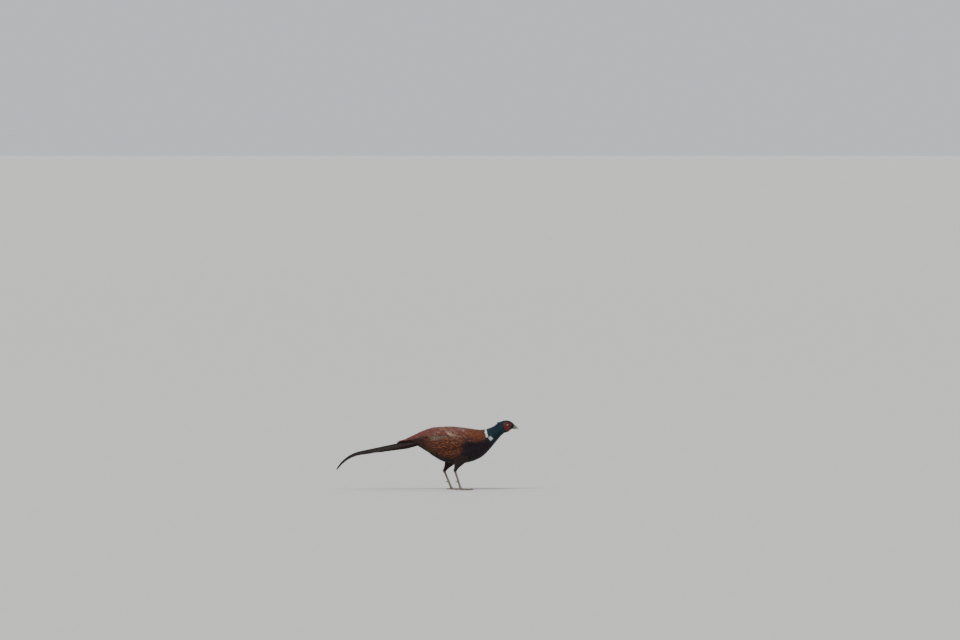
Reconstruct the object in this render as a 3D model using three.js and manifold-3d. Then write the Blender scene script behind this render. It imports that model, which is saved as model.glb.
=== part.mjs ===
// Cock common pheasant, life size, walking low with its neck stretched forward.
// Millimetres, +Z up, +X towards the bill, +Y to the bird's left. The floor is z = 0, and x = 0, y = 0 is the
// middle of the bird's whole box, half way between the tip of the bill and the tip of the tail.
import * as THREE from "three";
import { LoftGeometry } from "three/addons/geometries/LoftGeometry.js";
import { mergeVertices } from "three/addons/utils/BufferGeometryUtils.js";
import Module from "manifold-3d";

const wasm = await Module();
wasm.setup();

const GAP = 0.3; // kept between neighbouring pieces
const RIGHT = -1; // the sign of y on the bird's right side
const LEFT = 1;

// The body from the tail coverts to the root of the bill, as sections across the spine.
// x, z: centre of the section. high, wide: its half sizes. tilt: degrees that the spine climbs there.
const BODY = [
  { x: -92, z: 202, high: 5, wide: 6, tilt: 0 }, // tips of the tail coverts
  { x: -66, z: 206.5, high: 13, wide: 17, tilt: 0 },
  { x: -37, z: 207.5, high: 26, wide: 25, tilt: 0 },
  { x: -8, z: 204.5, high: 41, wide: 34, tilt: 0 }, // rump
  { x: 24, z: 197.5, high: 57.5, wide: 43, tilt: 0 },
  { x: 59, z: 189, high: 68.5, wide: 50, tilt: 0 },
  { x: 94, z: 185, high: 74, wide: 53, tilt: 0 }, // deepest part of the belly
  { x: 128, z: 183.5, high: 73, wide: 54, tilt: 0 },
  { x: 164, z: 184, high: 69, wide: 52, tilt: 4 },
  { x: 204, z: 190.5, high: 58.5, wide: 46, tilt: 12 }, // breast
  { x: 236, z: 207.5, high: 43, wide: 36.5, tilt: 26 }, // base of the neck
  { x: 260, z: 222.5, high: 32, wide: 28, tilt: 32 }, // white collar
  { x: 283, z: 240, high: 24.5, wide: 21.5, tilt: 38 },
  { x: 299, z: 252.5, high: 23.5, wide: 19.5, tilt: 38 }, // nape
  { x: 311, z: 258.5, high: 24.5, wide: 18.5, tilt: 24 },
  { x: 324, z: 261.5, high: 23.5, wide: 17.5, tilt: 9 }, // crown
  { x: 336, z: 262.5, high: 19.5, wide: 14.5, tilt: -4 },
  { x: 346, z: 262, high: 13, wide: 9.5, tilt: -12 },
  { x: 353, z: 261.5, high: 8, wide: 6.5, tilt: -16 }, // root of the bill
];
const SAG = 0.1; // how far the torso's widest line lies below its middle
const BODY_SIDES = 28;
// Places along BODY, counted in sections, where the named parts meet.
const TAIL_TO_TORSO = 3.5;
const TORSO_TO_NECK = 10.35;
const NECK_TO_HEAD = 13.3;

// The tail runs straight and then curls down in an arc.
const TAIL = {
  rootX: 6,
  rootZ: 217.5,
  drop: 12, // degrees below level
  straight: 288,
  arcRadius: 146,
  arcTurn: 51, // degrees
  pairs: 9,
  roll: 30, // degrees that each half of the roof slopes outwards
  step: 1.4, // between one pair and the next below it
  thick: 0.7,
  overlap: 4, // how far the left middle feather lies over the right one
  cut: 275, // where the tail's own piece ends and its curled tip begins
};
const TAIL_LENGTH = TAIL.straight + TAIL.arcRadius * THREE.MathUtils.degToRad(TAIL.arcTurn);
// The coverts over and under the tail's root. at: place along BODY. angles: degrees round from the top.
const COVERTS_OVER = { at: 3.2, angles: [-58, -27, 4, 33, 62], length: 50, half: 10, lift: 3.4 };
const COVERTS_UNDER = { at: 2.7, angles: [150, 182, 214], length: 48, half: 10, lift: 3 };
const COVERT_STEP = 0.9; // between each covert and the next, so that they overlap

// The tiers of the folded wing, seen from the side. Each runs from its lowest feather to its highest.
// root and tip: [x, z] of the lowest and the highest feather. lift: height above the body's side.
const WING_TIERS = [
  // primaries
  { count: 4, root: [[166, 200], [150, 208]], tip: [[10, 177], [-28, 196]], half: 8, lift: 2.3, steps: 3 },
  // secondaries
  { count: 7, root: [[170, 203], [130, 234]], tip: [[40, 184], [-6, 222]], half: 11.5, lift: 6.1, steps: 3 },
  // greater coverts
  { count: 6, root: [[188, 206], [148, 238]], tip: [[118, 195], [76, 231]], half: 8.5, lift: 9.8, steps: 2 },
  // median coverts
  { count: 5, root: [[200, 210], [166, 238]], tip: [[156, 202], [118, 236]], half: 8, lift: 12.1, steps: 2 },
  // lesser coverts
  { count: 4, root: [[208, 214], [184, 236]], tip: [[180, 208], [150, 236]], half: 7.5, lift: 14.2, steps: 2 },
];
const SHINGLE = 0.85; // how far each wing feather lies above the one it overlaps
const WING_VANE = 0.5;
// The arm of the wing under the coverts. x: place. low, high: its edges seen from the side. deep: thickness.
const WING_ARM = [
  { x: 220, low: 214, high: 222, deep: 2 },
  { x: 211, low: 209, high: 232, deep: 7 },
  { x: 198, low: 204, high: 236, deep: 11.5 },
  { x: 180, low: 200, high: 239, deep: 12.5 },
  { x: 152, low: 198, high: 239, deep: 10 },
  { x: 126, low: 199, high: 238, deep: 6 },
];

const EYE = { x: 327.4, z: 267.5, radius: 5.4, out: 2.1 };
// The edge of the red face skin: degrees round from forwards, turning up, and the distance from the eye there.
const WATTLE = [
  [0, 20.5], [20, 17.5], [45, 12.5], [80, 9.5], [120, 11.5], [150, 16.5], [180, 18.5], [215, 19],
  [245, 24], [262, 28.5], [278, 28], [295, 20.5], [318, 15.5], [340, 16.5],
];

// The halves of the bill, as sections. x, z: centre. fore: half height. side: half width. tilt: degrees of climb.
const UPPER_BILL = [
  { x: 342, z: 264, fore: 6.6, side: 6.4, tilt: -6 },
  { x: 350, z: 263.4, fore: 6.4, side: 6.2, tilt: -8 },
  { x: 356.5, z: 261.8, fore: 5.5, side: 5.2, tilt: -18 },
  { x: 362.5, z: 259, fore: 4.4, side: 4, tilt: -32 },
  { x: 367.5, z: 255.4, fore: 3.2, side: 2.7, tilt: -46 },
  { x: 371, z: 251.3, fore: 1.8, side: 1.5, tilt: -60 },
  { x: 372.4, z: 248.2, fore: 0.6, side: 0.6, tilt: -68 }, // hooked tip
];
const LOWER_BILL = [
  { x: 338, z: 253.4, fore: 3.4, side: 5.4, tilt: -7 },
  { x: 347, z: 252.9, fore: 3.3, side: 5.2, tilt: -7 },
  { x: 354, z: 252, fore: 2.9, side: 4.4, tilt: -7 },
  { x: 360, z: 251.2, fore: 2.2, side: 3.2, tilt: -7 },
  { x: 366, z: 250.4, fore: 0.9, side: 1.3, tilt: -7 },
];
const NOSTRIL = { x: 355, out: 6.2, z: 262.6, radius: 1.6 };
const NOSTRIL_FLAP = { x: 353, out: 4.2, z: 264.6, radius: 3.4 };
const MOUTH = { x: 345, z: 256.6, length: 14, height: 0.9, tilt: 6 };
// An ear tuft. x, out, z: root of its highest feather. droop: how steeply that one falls. fall: more for each next.
const EAR_TUFT = { feathers: 4, x: 299, out: 8.6, z: 275.5, length: 15, half: 2.7, droop: 0.1, fall: 0.12 };

// Each leg. foot, hock, knee: [x, y, z] of the joints, y outwards. turn: degrees that the foot points outwards.
const LEGS = {
  right: { side: RIGHT, foot: [134, 33, 9], hock: [112, 34, 80], knee: [143, 31, 152], turn: 4 },
  left: { side: LEFT, foot: [96, 33, 9], hock: [68, 34, 77], knee: [112, 31, 152], turn: 6 },
};
// The feathered thigh. at: place from the knee, 0, to the hock, 1. fore, side: half sizes.
const THIGH = [
  { at: -0.2, fore: 17, side: 8 },
  { at: 0.05, fore: 31, side: 17 },
  { at: 0.3, fore: 29, side: 17.5 },
  { at: 0.52, fore: 21, side: 14.5 },
  { at: 0.75, fore: 11.5, side: 9.5 },
  { at: 0.9, fore: 6.6, side: 6.2 },
];
const SCUTES = 7; // broad scales down the front of the shank
// The spur. at: place up the shank. sections: [distance out, radius].
const SPUR = { at: 0.36, sections: [[0, 3.2], [5, 3], [10, 1.8], [15, 0.5]] };
// The joint over the toes: [height above the ankle, half size fore and aft, half size across].
const ANKLE = [[6, 4.6, 3.8], [3, 5.2, 4.8], [-1, 6.2, 6], [-5, 6, 6], [-9, 4, 4]];
// angle: degrees outwards. length: to the root of the claw. raised: height of the toe's root. claw: its length.
const TOES = {
  inner: { angle: -32, length: 31, radius: 4, joints: 2, raised: 0, claw: 9 },
  middle: { angle: 2, length: 44, radius: 4.4, joints: 3, raised: 0, claw: 11 },
  outer: { angle: 34, length: 34, radius: 4, joints: 2, raised: 0, claw: 9 },
  hind: { angle: 172, length: 13, radius: 3.3, joints: 1, raised: 4.2, claw: 7 },
};
const TOE_TAPER = 0.72; // a toe's thickness at its claw, as a share of that at its root
// A claw: [place along it, share of its thickness, height as a share of the toe's radius].
const CLAW = [[0, 1, 0.78], [0.35, 0.78, 0.82], [0.7, 0.5, 0.68], [1, 0.16, 0.34]];

const FINISH = {
  plumage: new THREE.MeshStandardMaterial({ color: 0x7a4a30, roughness: 0.75, metalness: 0 }),
  neck: new THREE.MeshStandardMaterial({ color: 0x14343c, roughness: 0.4, metalness: 0.2 }),
  wing: new THREE.MeshStandardMaterial({ color: 0x8d7358, roughness: 0.8, metalness: 0 }),
  tail: new THREE.MeshStandardMaterial({ color: 0x24201f, roughness: 0.7, metalness: 0 }),
  wattle: new THREE.MeshStandardMaterial({ color: 0x8c1420, roughness: 0.6, metalness: 0 }),
  bill: new THREE.MeshStandardMaterial({ color: 0xb9b4a6, roughness: 0.45, metalness: 0 }),
  eye: new THREE.MeshStandardMaterial({ color: 0xb89a4a, roughness: 0.1, metalness: 0 }),
  leg: new THREE.MeshStandardMaterial({ color: 0x6f6a62, roughness: 0.6, metalness: 0 }),
  claw: new THREE.MeshStandardMaterial({ color: 0x3b342d, roughness: 0.45, metalness: 0 }),
};

const { lerp, degToRad, clamp } = THREE.MathUtils;
const vec = (x, y, z) => new THREE.Vector3(x, y, z);

// A repeatable random number from 0 to 1.
function makeRandom(seed) {
  let state = seed;
  return () => {
    state = (state * 1664525 + 1013904223) % 4294967296;
    return state / 4294967296;
  };
}

// A closed geometry as a solid, turned outside out if need be.
function solidOf(geometry) {
  const plain = new THREE.BufferGeometry();
  plain.setAttribute("position", geometry.attributes.position);
  plain.setIndex(geometry.index);
  const merged = mergeVertices(plain, 1e-4);
  const build = (triVerts) =>
    new wasm.Manifold(
      new wasm.Mesh({ numProp: 3, vertProperties: merged.attributes.position.array, triVerts }),
    );
  const triVerts = Uint32Array.from(merged.index.array);
  const made = build(triVerts);
  if (made.volume() > 0) return made;
  return build(triVerts.map((v, i, all) => (i % 3 === 0 ? v : all[i + (i % 3 === 1 ? 1 : -1)])));
}

// Joins pieces, and keeps only the largest closed body.
function joined(pieces) {
  return largest(wasm.Manifold.union(pieces));
}

function largest(solid) {
  return solid.decompose().reduce((a, b) => (b.volume() > a.volume() ? b : a));
}

// A closed loft through rings of points. The rings are turned round if they run clockwise.
function loft(sections) {
  const middle = (ring) => ring.reduce((sum, p) => sum.add(p), vec(0, 0, 0)).divideScalar(ring.length);
  let facing = 0;
  for (let i = 1; i < sections.length; i++) {
    const [from, to] = [middle(sections[i - 1]), middle(sections[i])];
    const normal = vec(0, 0, 0);
    sections[i].forEach((p, j, ring) => {
      normal.add(p.clone().sub(to).cross(ring[(j + 1) % ring.length].clone().sub(to)));
    });
    facing += normal.dot(to.clone().sub(from));
  }
  const rings = facing < 0 ? sections.map((ring) => ring.slice().reverse()) : sections;
  return solidOf(new LoftGeometry(rings, { capStart: true, capEnd: true }));
}

function ball(x, y, z, radius, stretch, sides) {
  const sphere = new THREE.SphereGeometry(radius, sides, Math.ceil(sides / 2) + 1);
  return solidOf(sphere.scale(...stretch).translate(x, y, z));
}

// A thin plate from rows of { point, normal }, with both faces split into triangles alike.
function plate(rows, thickAt) {
  const columns = rows[0].length;
  const half = rows.length * columns;
  const positions = [];
  for (const side of [0.5, -0.5]) {
    rows.forEach((row, i) =>
      row.forEach(({ point, normal }) =>
        positions.push(...point.clone().addScaledVector(normal, side * thickAt(i / (rows.length - 1))).toArray()),
      ),
    );
  }
  const index = [];
  for (let i = 0; i < rows.length - 1; i++) {
    for (let j = 0; j < columns - 1; j++) {
      const [a, b, c, d] = [i * columns + j, i * columns + j + 1, (i + 1) * columns + j + 1, (i + 1) * columns + j];
      index.push(a, b, c, a, c, d);
      index.push(half + a, half + c, half + b, half + a, half + d, half + c);
    }
  }
  const rim = [];
  for (let j = 0; j < columns; j++) rim.push(j);
  for (let i = 1; i < rows.length; i++) rim.push(i * columns + columns - 1);
  for (let j = columns - 2; j >= 0; j--) rim.push((rows.length - 1) * columns + j);
  for (let i = rows.length - 2; i > 0; i--) rim.push(i * columns);
  rim.forEach((a, k) => {
    const b = rim[(k + 1) % rim.length];
    index.push(b, a, half + a, b, half + a, half + b);
  });
  const geometry = new THREE.BufferGeometry();
  geometry.setAttribute("position", new THREE.Float32BufferAttribute(positions, 3));
  geometry.setIndex(index);
  return solidOf(geometry);
}

// The body's smooth surface.
const spine = new THREE.CatmullRomCurve3(BODY.map((s) => vec(s.x, s.tilt, s.z)), false, "catmullrom", 0.5);
const girth = new THREE.CatmullRomCurve3(BODY.map((s) => vec(s.high, s.wide, 0)), false, "catmullrom", 0.5);

// The section of the body at place t, counted in stations.
function sectionAt(t) {
  const u = clamp(t / (BODY.length - 1), 0, 1);
  const centre = spine.getPoint(u);
  const size = girth.getPoint(u);
  const tilt = degToRad(centre.y);
  return {
    centre: vec(centre.x, 0, centre.z),
    along: vec(Math.cos(tilt), 0, Math.sin(tilt)),
    up: vec(-Math.sin(tilt), 0, Math.cos(tilt)),
    high: size.x,
    wide: size.y,
    sag: SAG * clamp((TORSO_TO_NECK - t) / 3, 0, 1),
  };
}

// The body's surface at place t and angle round from the top, grown outwards by some millimetres.
function bodyPoint(t, angle, grow = 0) {
  const s = sectionAt(t);
  const rise = (s.high + grow) * Math.cos(angle);
  const out = (s.wide + grow) * Math.sin(angle) * (1 - s.sag * Math.cos(angle));
  return s.centre.clone().addScaledVector(s.up, rise).add(vec(0, out, 0));
}

function bodyPart(from, to, rings, grow = 0) {
  const sections = [];
  for (let i = 0; i <= rings; i++) {
    const t = lerp(from, to, i / rings);
    const section = [];
    for (let j = 0; j < BODY_SIDES; j++) section.push(bodyPoint(t, (2 * Math.PI * j) / BODY_SIDES, grow));
    sections.push(section);
  }
  return loft(sections);
}

// The point of the body's side at x, z, lifted off it, with the surface's normal. side is RIGHT or LEFT.
function sidePoint(x, z, side, lift) {
  let low = 0;
  let high = BODY.length - 1;
  for (let i = 0; i < 30; i++) {
    const middle = (low + high) / 2;
    const s = sectionAt(middle);
    if ((x - s.centre.x) * s.along.x + (z - s.centre.z) * s.along.z > 0) low = middle;
    else high = middle;
  }
  const t = (low + high) / 2;
  const s = sectionAt(t);
  const level = clamp(((x - s.centre.x) * s.up.x + (z - s.centre.z) * s.up.z) / s.high, -0.97, 0.97);
  const angle = Math.acos(level);
  const point = bodyPoint(t, side * angle);
  const round = bodyPoint(t, side * (angle + 0.01)).sub(bodyPoint(t, side * (angle - 0.01)));
  const ahead = bodyPoint(Math.min(t + 0.05, BODY.length - 1), side * angle).sub(bodyPoint(t - 0.05, side * angle));
  const normal = round.cross(ahead).normalize();
  if (normal.y * side < 0) normal.negate();
  return { point: point.addScaledVector(normal, lift), normal };
}

// Width of a feather along its length: a quick rise, nearly even, then a round or pointed tip.
function featherWidth(s, half, point) {
  const root = clamp(0.55 + 1.6 * s, 0, 1);
  const tip = Math.sqrt(clamp(1 - Math.pow(s, point), 0, 1));
  return Math.max(half * root * tip, 0.8);
}

// One feather that lies along the body's side.
function sideVane(root, tip, half, lift, lean, side, steps) {
  const ahead = new THREE.Vector2(tip[0] - root[0], tip[1] - root[1]);
  const across = new THREE.Vector2(ahead.y, -ahead.x).normalize(); // towards the feather's upper edge
  const rows = [];
  for (let i = 0; i <= steps; i++) {
    const s = 1 - (1 - i / steps) ** 1.35;
    const width = featherWidth(s, half, 5);
    rows.push(
      (steps > 2 ? [-1, 0, 1] : [-1, 1]).map((k) => {
        const q = k * width;
        const x = root[0] + ahead.x * s + across.x * q;
        const z = root[1] + ahead.y * s + across.y * q;
        return sidePoint(x, z, side, lift - lean * q);
      }),
    );
  }
  return plate(rows, () => WING_VANE);
}

function wing(side, body) {
  const random = makeRandom(side === RIGHT ? 11 : 29);
  const arm = loft(
    WING_ARM.map(({ x, low, high, deep }) => {
      const section = [];
      const levels = [-1, -0.75, -0.3, 0.3, 0.75, 1];
      for (const q of levels) {
        const z = lerp(low, high, (q + 1) / 2);
        section.push(sidePoint(x, z, side, deep * Math.sqrt(1 - 0.93 * q * q)).point);
      }
      for (const q of levels.slice().reverse()) {
        section.push(sidePoint(x, lerp(low, high, (q + 1) / 2), side, -2.5).point);
      }
      return section;
    }),
  );
  const vanes = [];
  for (const tier of WING_TIERS) {
    const [rootLow, rootHigh] = tier.root;
    const [tipLow, tipHigh] = tier.tip;
    const spacing = Math.hypot(rootHigh[0] - rootLow[0], rootHigh[1] - rootLow[1]) / (tier.count - 1);
    for (let i = 0; i < tier.count; i++) {
      const f = i / (tier.count - 1);
      const root = [lerp(rootLow[0], rootHigh[0], f), lerp(rootLow[1], rootHigh[1], f)];
      const tip = [
        lerp(tipLow[0], tipHigh[0], f) + 5 * (random() - 0.5),
        lerp(tipLow[1], tipHigh[1], f) + 1.5 * (random() - 0.5),
      ];
      vanes.push(sideVane(root, tip, tier.half, tier.lift, SHINGLE / spacing, side, tier.steps));
    }
  }
  return largest(joined([arm, ...vanes]).subtract(body));
}

// The tail's middle line at distance s from its root.
function tailLine(s) {
  const drop = degToRad(TAIL.drop);
  const straight = Math.min(s, TAIL.straight);
  const turn = Math.max(0, s - TAIL.straight) / TAIL.arcRadius;
  const bent = drop + turn;
  return {
    point: vec(
      TAIL.rootX - straight * Math.cos(drop) - TAIL.arcRadius * (Math.sin(bent) - Math.sin(drop)),
      0,
      TAIL.rootZ - straight * Math.sin(drop) - TAIL.arcRadius * (Math.cos(drop) - Math.cos(bent)),
    ),
    up: vec(-Math.sin(bent), 0, Math.cos(bent)),
  };
}

// One tail feather. pair counts from the middle pair outwards.
function tailFeather(pair, side) {
  const f = pair / (TAIL.pairs - 1);
  const length = TAIL_LENGTH * (pair === 0 ? 1 : lerp(0.96, 0.33, f ** 0.72));
  const half = lerp(16, 11.5, f);
  const roll = degToRad(TAIL.roll);
  const steps = pair < 3 ? 8 : 3;
  const onTop = pair === 0 && side === LEFT;
  const rows = [];
  for (let i = 0; i <= steps; i++) {
    const s = pair < 3 ? 1 - (1 - i / steps) ** 1.4 : i / steps;
    const line = tailLine(s * length);
    const slope = vec(0, side * Math.cos(roll), 0).addScaledVector(line.up, -Math.sin(roll));
    const normal = vec(0, side * Math.sin(roll), 0).addScaledVector(line.up, Math.cos(roll));
    const taper = pair < 3 ? clamp((1.05 - s) / 0.45, 0, 1) ** 0.75 : clamp((1.02 - s) / 0.3, 0, 1) ** 0.6;
    const width = Math.max(half * clamp(0.5 + 2.5 * s, 0, 1) * taper, 0.9);
    const middle = width + 0.45 + f * 6 * s;
    rows.push(
      (pair < 3 ? [-1, 0, 1] : [-1, 1]).map((k) => {
        const inner = Math.max(middle + k * width, 0.45) - (onTop ? TAIL.overlap : 0);
        const above = onTop ? 1 : -pair * TAIL.step;
        return {
          point: line.point.clone().addScaledVector(slope, inner).addScaledVector(line.up, above),
          normal,
        };
      }),
    );
  }
  return plate(rows, (s) => lerp(TAIL.thick, 0.5, s));
}

// A covert of the tail, rooted on the body at place t and some degrees round from the top, and lying straight back.
function tailCovert(t, degrees, length, half, lift) {
  const angle = degToRad(degrees);
  const root = bodyPoint(t, angle, -2);
  const back = bodyPoint(t - 0.5, angle).sub(bodyPoint(t, angle)).normalize();
  const across = vec(0, Math.cos(angle), -Math.sin(angle));
  const normal = across.clone().cross(back).normalize();
  if (normal.z * Math.cos(angle) < 0) normal.negate();
  const rows = [];
  for (let i = 0; i <= 3; i++) {
    const s = i / 3;
    const middle = root
      .clone()
      .addScaledVector(back, s * length)
      .addScaledVector(normal, lift * s * (2 - s));
    const width = featherWidth(s, half, 3);
    rows.push([-1, 0, 1].map((k) => ({ point: middle.clone().addScaledVector(across, k * width), normal })));
  }
  return plate(rows, () => 0.6);
}

function tail() {
  const pieces = [bodyPart(0, TAIL_TO_TORSO, 5)];
  for (let pair = 0; pair < TAIL.pairs; pair++) {
    pieces.push(tailFeather(pair, RIGHT), tailFeather(pair, LEFT));
  }
  for (const { at, angles, length, half, lift } of [COVERTS_OVER, COVERTS_UNDER]) {
    angles.forEach((angle, i) => {
      pieces.push(tailCovert(at, angle, length, half, lift + COVERT_STEP * (i % 2)));
    });
  }
  const ahead = bodyPart(TAIL_TO_TORSO, TAIL_TO_TORSO + 2, 4, GAP);
  const { normal, offset } = tailCut();
  return largest(joined(pieces).subtract(ahead).trimByPlane(normal.clone().negate().toArray(), GAP / 2 - offset));
}

// The plane that parts the tail from its tip, facing backwards.
function tailCut() {
  const [here, next] = [tailLine(TAIL.cut).point, tailLine(TAIL.cut + 1).point];
  const normal = next.sub(here);
  return { normal, offset: normal.dot(here) };
}

// The curled end of the three longest pairs, held together between the vanes where they start.
function tailTip() {
  const pieces = [];
  const roll = degToRad(TAIL.roll);
  for (const side of [RIGHT, LEFT]) {
    for (let pair = 0; pair < 3; pair++) pieces.push(tailFeather(pair, side));
    const rows = [0.4, 4].map((beyond) => {
      const { point, up } = tailLine(TAIL.cut + beyond);
      const slope = vec(0, side * Math.cos(roll), 0).addScaledVector(up, -Math.sin(roll));
      const normal = vec(0, side * Math.sin(roll), 0).addScaledVector(up, Math.cos(roll));
      const middle = point.addScaledVector(up, -TAIL.step);
      return [-1, 7].map((inner) => ({ point: middle.clone().addScaledVector(slope, inner), normal }));
    });
    pieces.push(plate(rows, () => 2 * TAIL.step + 1.6));
  }
  const { normal, offset } = tailCut();
  return largest(joined(pieces).trimByPlane(normal.toArray(), offset + GAP / 2));
}

// The red face skin of one side: a low cushion round the eye, with a raised lid and a hanging cheek lobe.
function wattle(side, head, eyeball) {
  const edge = new THREE.CatmullRomCurve3(
    WATTLE.map(([angle, reach]) => vec(angle, reach, 0)).concat([vec(360, WATTLE[0][1], 0)]),
  );
  const outline = edge.getPoints(72);
  const reachAt = (angle) => {
    const k = outline.findIndex((p) => p.x >= angle);
    const [a, b] = [outline[Math.max(k - 1, 0)], outline[k < 0 ? outline.length - 1 : k]];
    return b.x === a.x ? b.y : lerp(a.y, b.y, (angle - a.x) / (b.x - a.x));
  };
  const turns = 18;
  const sections = [];
  for (let i = 0; i <= turns; i++) {
    const degrees = (360 * (i % turns)) / turns;
    const angle = degToRad(degrees);
    const reach = reachAt(degrees);
    const cheek = Math.max(0, -Math.sin(angle)) ** 3;
    const at = (r, lift) =>
      sidePoint(EYE.x + r * Math.cos(angle), EYE.z + r * Math.sin(angle), side, lift).point;
    const profile = [
      [0, 1.3], [0.1, 2], [0.24, 1.1], [0.45, 1.9 + cheek * 0.8], [0.8, 1.6 + cheek * 1.4], [1, 0.5],
    ];
    const start = EYE.radius - 0.9;
    const outside = profile.map(([f, lift]) => at(lerp(start, reach, f), lift));
    const inside = [1, 0.5, 0].map((f) => at(lerp(start, reach, f), -1.5));
    sections.push([...outside, ...inside]);
  }
  const ring = solidOf(new LoftGeometry(sections));
  return largest(ring.subtract(head).subtract(eyeball));
}

// A tapering limb through stations of { at, fore, side, along }: half sizes fore and aft, and across.
function limb(stations, sides) {
  const ahead = (i) => {
    if (stations[i].along) return stations[i].along.clone().normalize();
    const before = stations[Math.max(i - 1, 0)].at;
    return stations[Math.min(i + 1, stations.length - 1)].at.clone().sub(before).normalize();
  };
  return loft(
    stations.map((station, i) => {
      const along = ahead(i);
      const across = vec(0, 1, 0).addScaledVector(along, -along.y).normalize();
      const fore = across.clone().cross(along);
      const ring = [];
      for (let j = 0; j < sides; j++) {
        const angle = (2 * Math.PI * j) / sides;
        ring.push(
          station.at
            .clone()
            .addScaledVector(fore, station.fore * Math.cos(angle))
            .addScaledVector(across, station.side * Math.sin(angle)),
        );
      }
      return ring;
    }),
  );
}

function legJoints({ side, foot, hock, knee }) {
  return [foot, hock, knee].map(([x, y, z]) => vec(x, side * y, z));
}

// The feathered upper leg, from inside the belly to just above the hock.
function thigh(leg, body) {
  const [, hock, knee] = legJoints(leg);
  const along = hock.clone().sub(knee).normalize();
  const stations = THIGH.map(({ at, fore, side }) => ({ at: knee.clone().lerp(hock, at), fore, side, along }));
  return largest(limb(stations, 14).subtract(body));
}

// The bare shank: the hock, the scaled front, and the spur at the back.
function shank(leg) {
  const [foot, hock, knee] = legJoints(leg);
  const above = hock.clone().sub(knee).normalize();
  const down = foot.clone().sub(hock).normalize();
  const start = hock.clone().lerp(knee, 0.1).addScaledVector(above, GAP);
  const end = foot.clone().addScaledVector(down, -6 - GAP);
  const stations = [
    { at: start, fore: 5, side: 4.6, along: above },
    { at: hock.clone(), fore: 6.2, side: 5.2, along: above.clone().add(down) },
  ];
  const top = hock.clone().addScaledVector(down, 7);
  for (let i = 0; i <= SCUTES; i++) {
    const s = i / SCUTES;
    const at = top.clone().lerp(end, s);
    const waist = 0.5 * Math.sin(Math.PI * s);
    stations.push({ at, fore: 5 - waist, side: 3.9 - waist, along: down });
    if (i < SCUTES) {
      const groove = at.clone().addScaledVector(down, 0.8);
      stations.push({ at: groove, fore: 4.4 - waist, side: 3.6 - waist, along: down });
    }
  }
  const back = vec(-1, 0, 0).addScaledVector(down, down.x).normalize();
  const root = foot.clone().lerp(hock, SPUR.at);
  const along = back.add(vec(0, -0.35 * leg.side, 0.25)).normalize();
  const spur = SPUR.sections.map(([out, radius]) => ({
    at: root.clone().addScaledVector(along, out),
    fore: radius,
    side: radius,
    along,
  }));
  return joined([limb(stations, 8), limb(spur, 6)]);
}

// The way that a toe points on the floor.
function toeWay(leg, toe) {
  const angle = degToRad(leg.turn + toe.angle) * leg.side;
  return vec(Math.cos(angle), Math.sin(angle), 0);
}

// The foot: a joint and four scaled toes with pads, flat where they meet the floor.
function foot(leg) {
  const [ankle, hock] = legJoints(leg);
  const up = hock.clone().sub(ankle).normalize();
  const joint = ANKLE.map(([height, fore, side]) => ({
    at: ankle.clone().addScaledVector(up, height),
    fore,
    side,
    along: up,
  }));
  const pieces = [limb(joint, 12)];
  for (const toe of Object.values(TOES)) {
    const way = toeWay(leg, toe);
    const stations = [];
    const steps = toe.joints * 2 + 1;
    const start = Math.max(ankle.z - 4, toe.radius * 0.82);
    for (let i = 0; i <= steps; i++) {
      const s = i / steps;
      const swell = 0.1 * Math.cos(2 * Math.PI * toe.joints * s);
      const radius = toe.radius * lerp(1, TOE_TAPER, s) * (1 + swell);
      const end = toe.radius * 0.68 + toe.raised * (1 - s);
      const height = lerp(start, end, Math.min(1, 2.4 * s));
      stations.push({
        at: vec(ankle.x, ankle.y, 0).addScaledVector(way, s * toe.length).setZ(height),
        fore: radius,
        side: radius * 0.95,
        along: way,
      });
    }
    pieces.push(limb(stations, 8));
  }
  const floor = solidOf(new THREE.BoxGeometry(200, 100, 20).translate(ankle.x, ankle.y, -10));
  return largest(joined(pieces).subtract(floor));
}

// A claw in line with its toe, curving down and clear of the floor.
function claw(leg, name) {
  const toe = TOES[name];
  const [ankle] = legJoints(leg);
  const way = toeWay(leg, toe);
  const start = vec(ankle.x, ankle.y, 0).addScaledVector(way, toe.length + GAP);
  const radius = toe.radius * TOE_TAPER;
  const stations = CLAW.map(([s, size, level]) => ({
    at: start.clone().addScaledVector(way, s * toe.claw).setZ(toe.radius * level + 0.4),
    fore: radius * size * 0.95,
    side: radius * size * 0.8,
    along: way,
  }));
  return limb(stations, 6);
}

// One half of the bill, grown outwards by some millimetres.
function billHalf(sections, sides, grow) {
  const stations = sections.map(({ x, z, fore, side, tilt }) => ({
    at: vec(x, 0, z),
    fore: fore + grow,
    side: side + grow,
    along: vec(Math.cos(degToRad(tilt)), 0, Math.sin(degToRad(tilt))),
  }));
  return limb(stations, sides);
}

// The upper bill with its nostrils, each under a swollen flap.
function upperBill(head) {
  let made = billHalf(UPPER_BILL, 14, 0);
  for (const side of [RIGHT, LEFT]) {
    const { x, out, z, radius } = NOSTRIL_FLAP;
    made = made.add(ball(x, side * out, z, radius, [1.3, 0.6, 0.6], 8));
    made = made.subtract(ball(NOSTRIL.x, side * NOSTRIL.out, NOSTRIL.z, NOSTRIL.radius, [1, 1, 1], 6));
  }
  return largest(made.subtract(head));
}

function lowerBill(head) {
  return largest(billHalf(LOWER_BILL, 12, 0).subtract(billHalf(UPPER_BILL, 14, GAP)).subtract(head));
}

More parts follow.
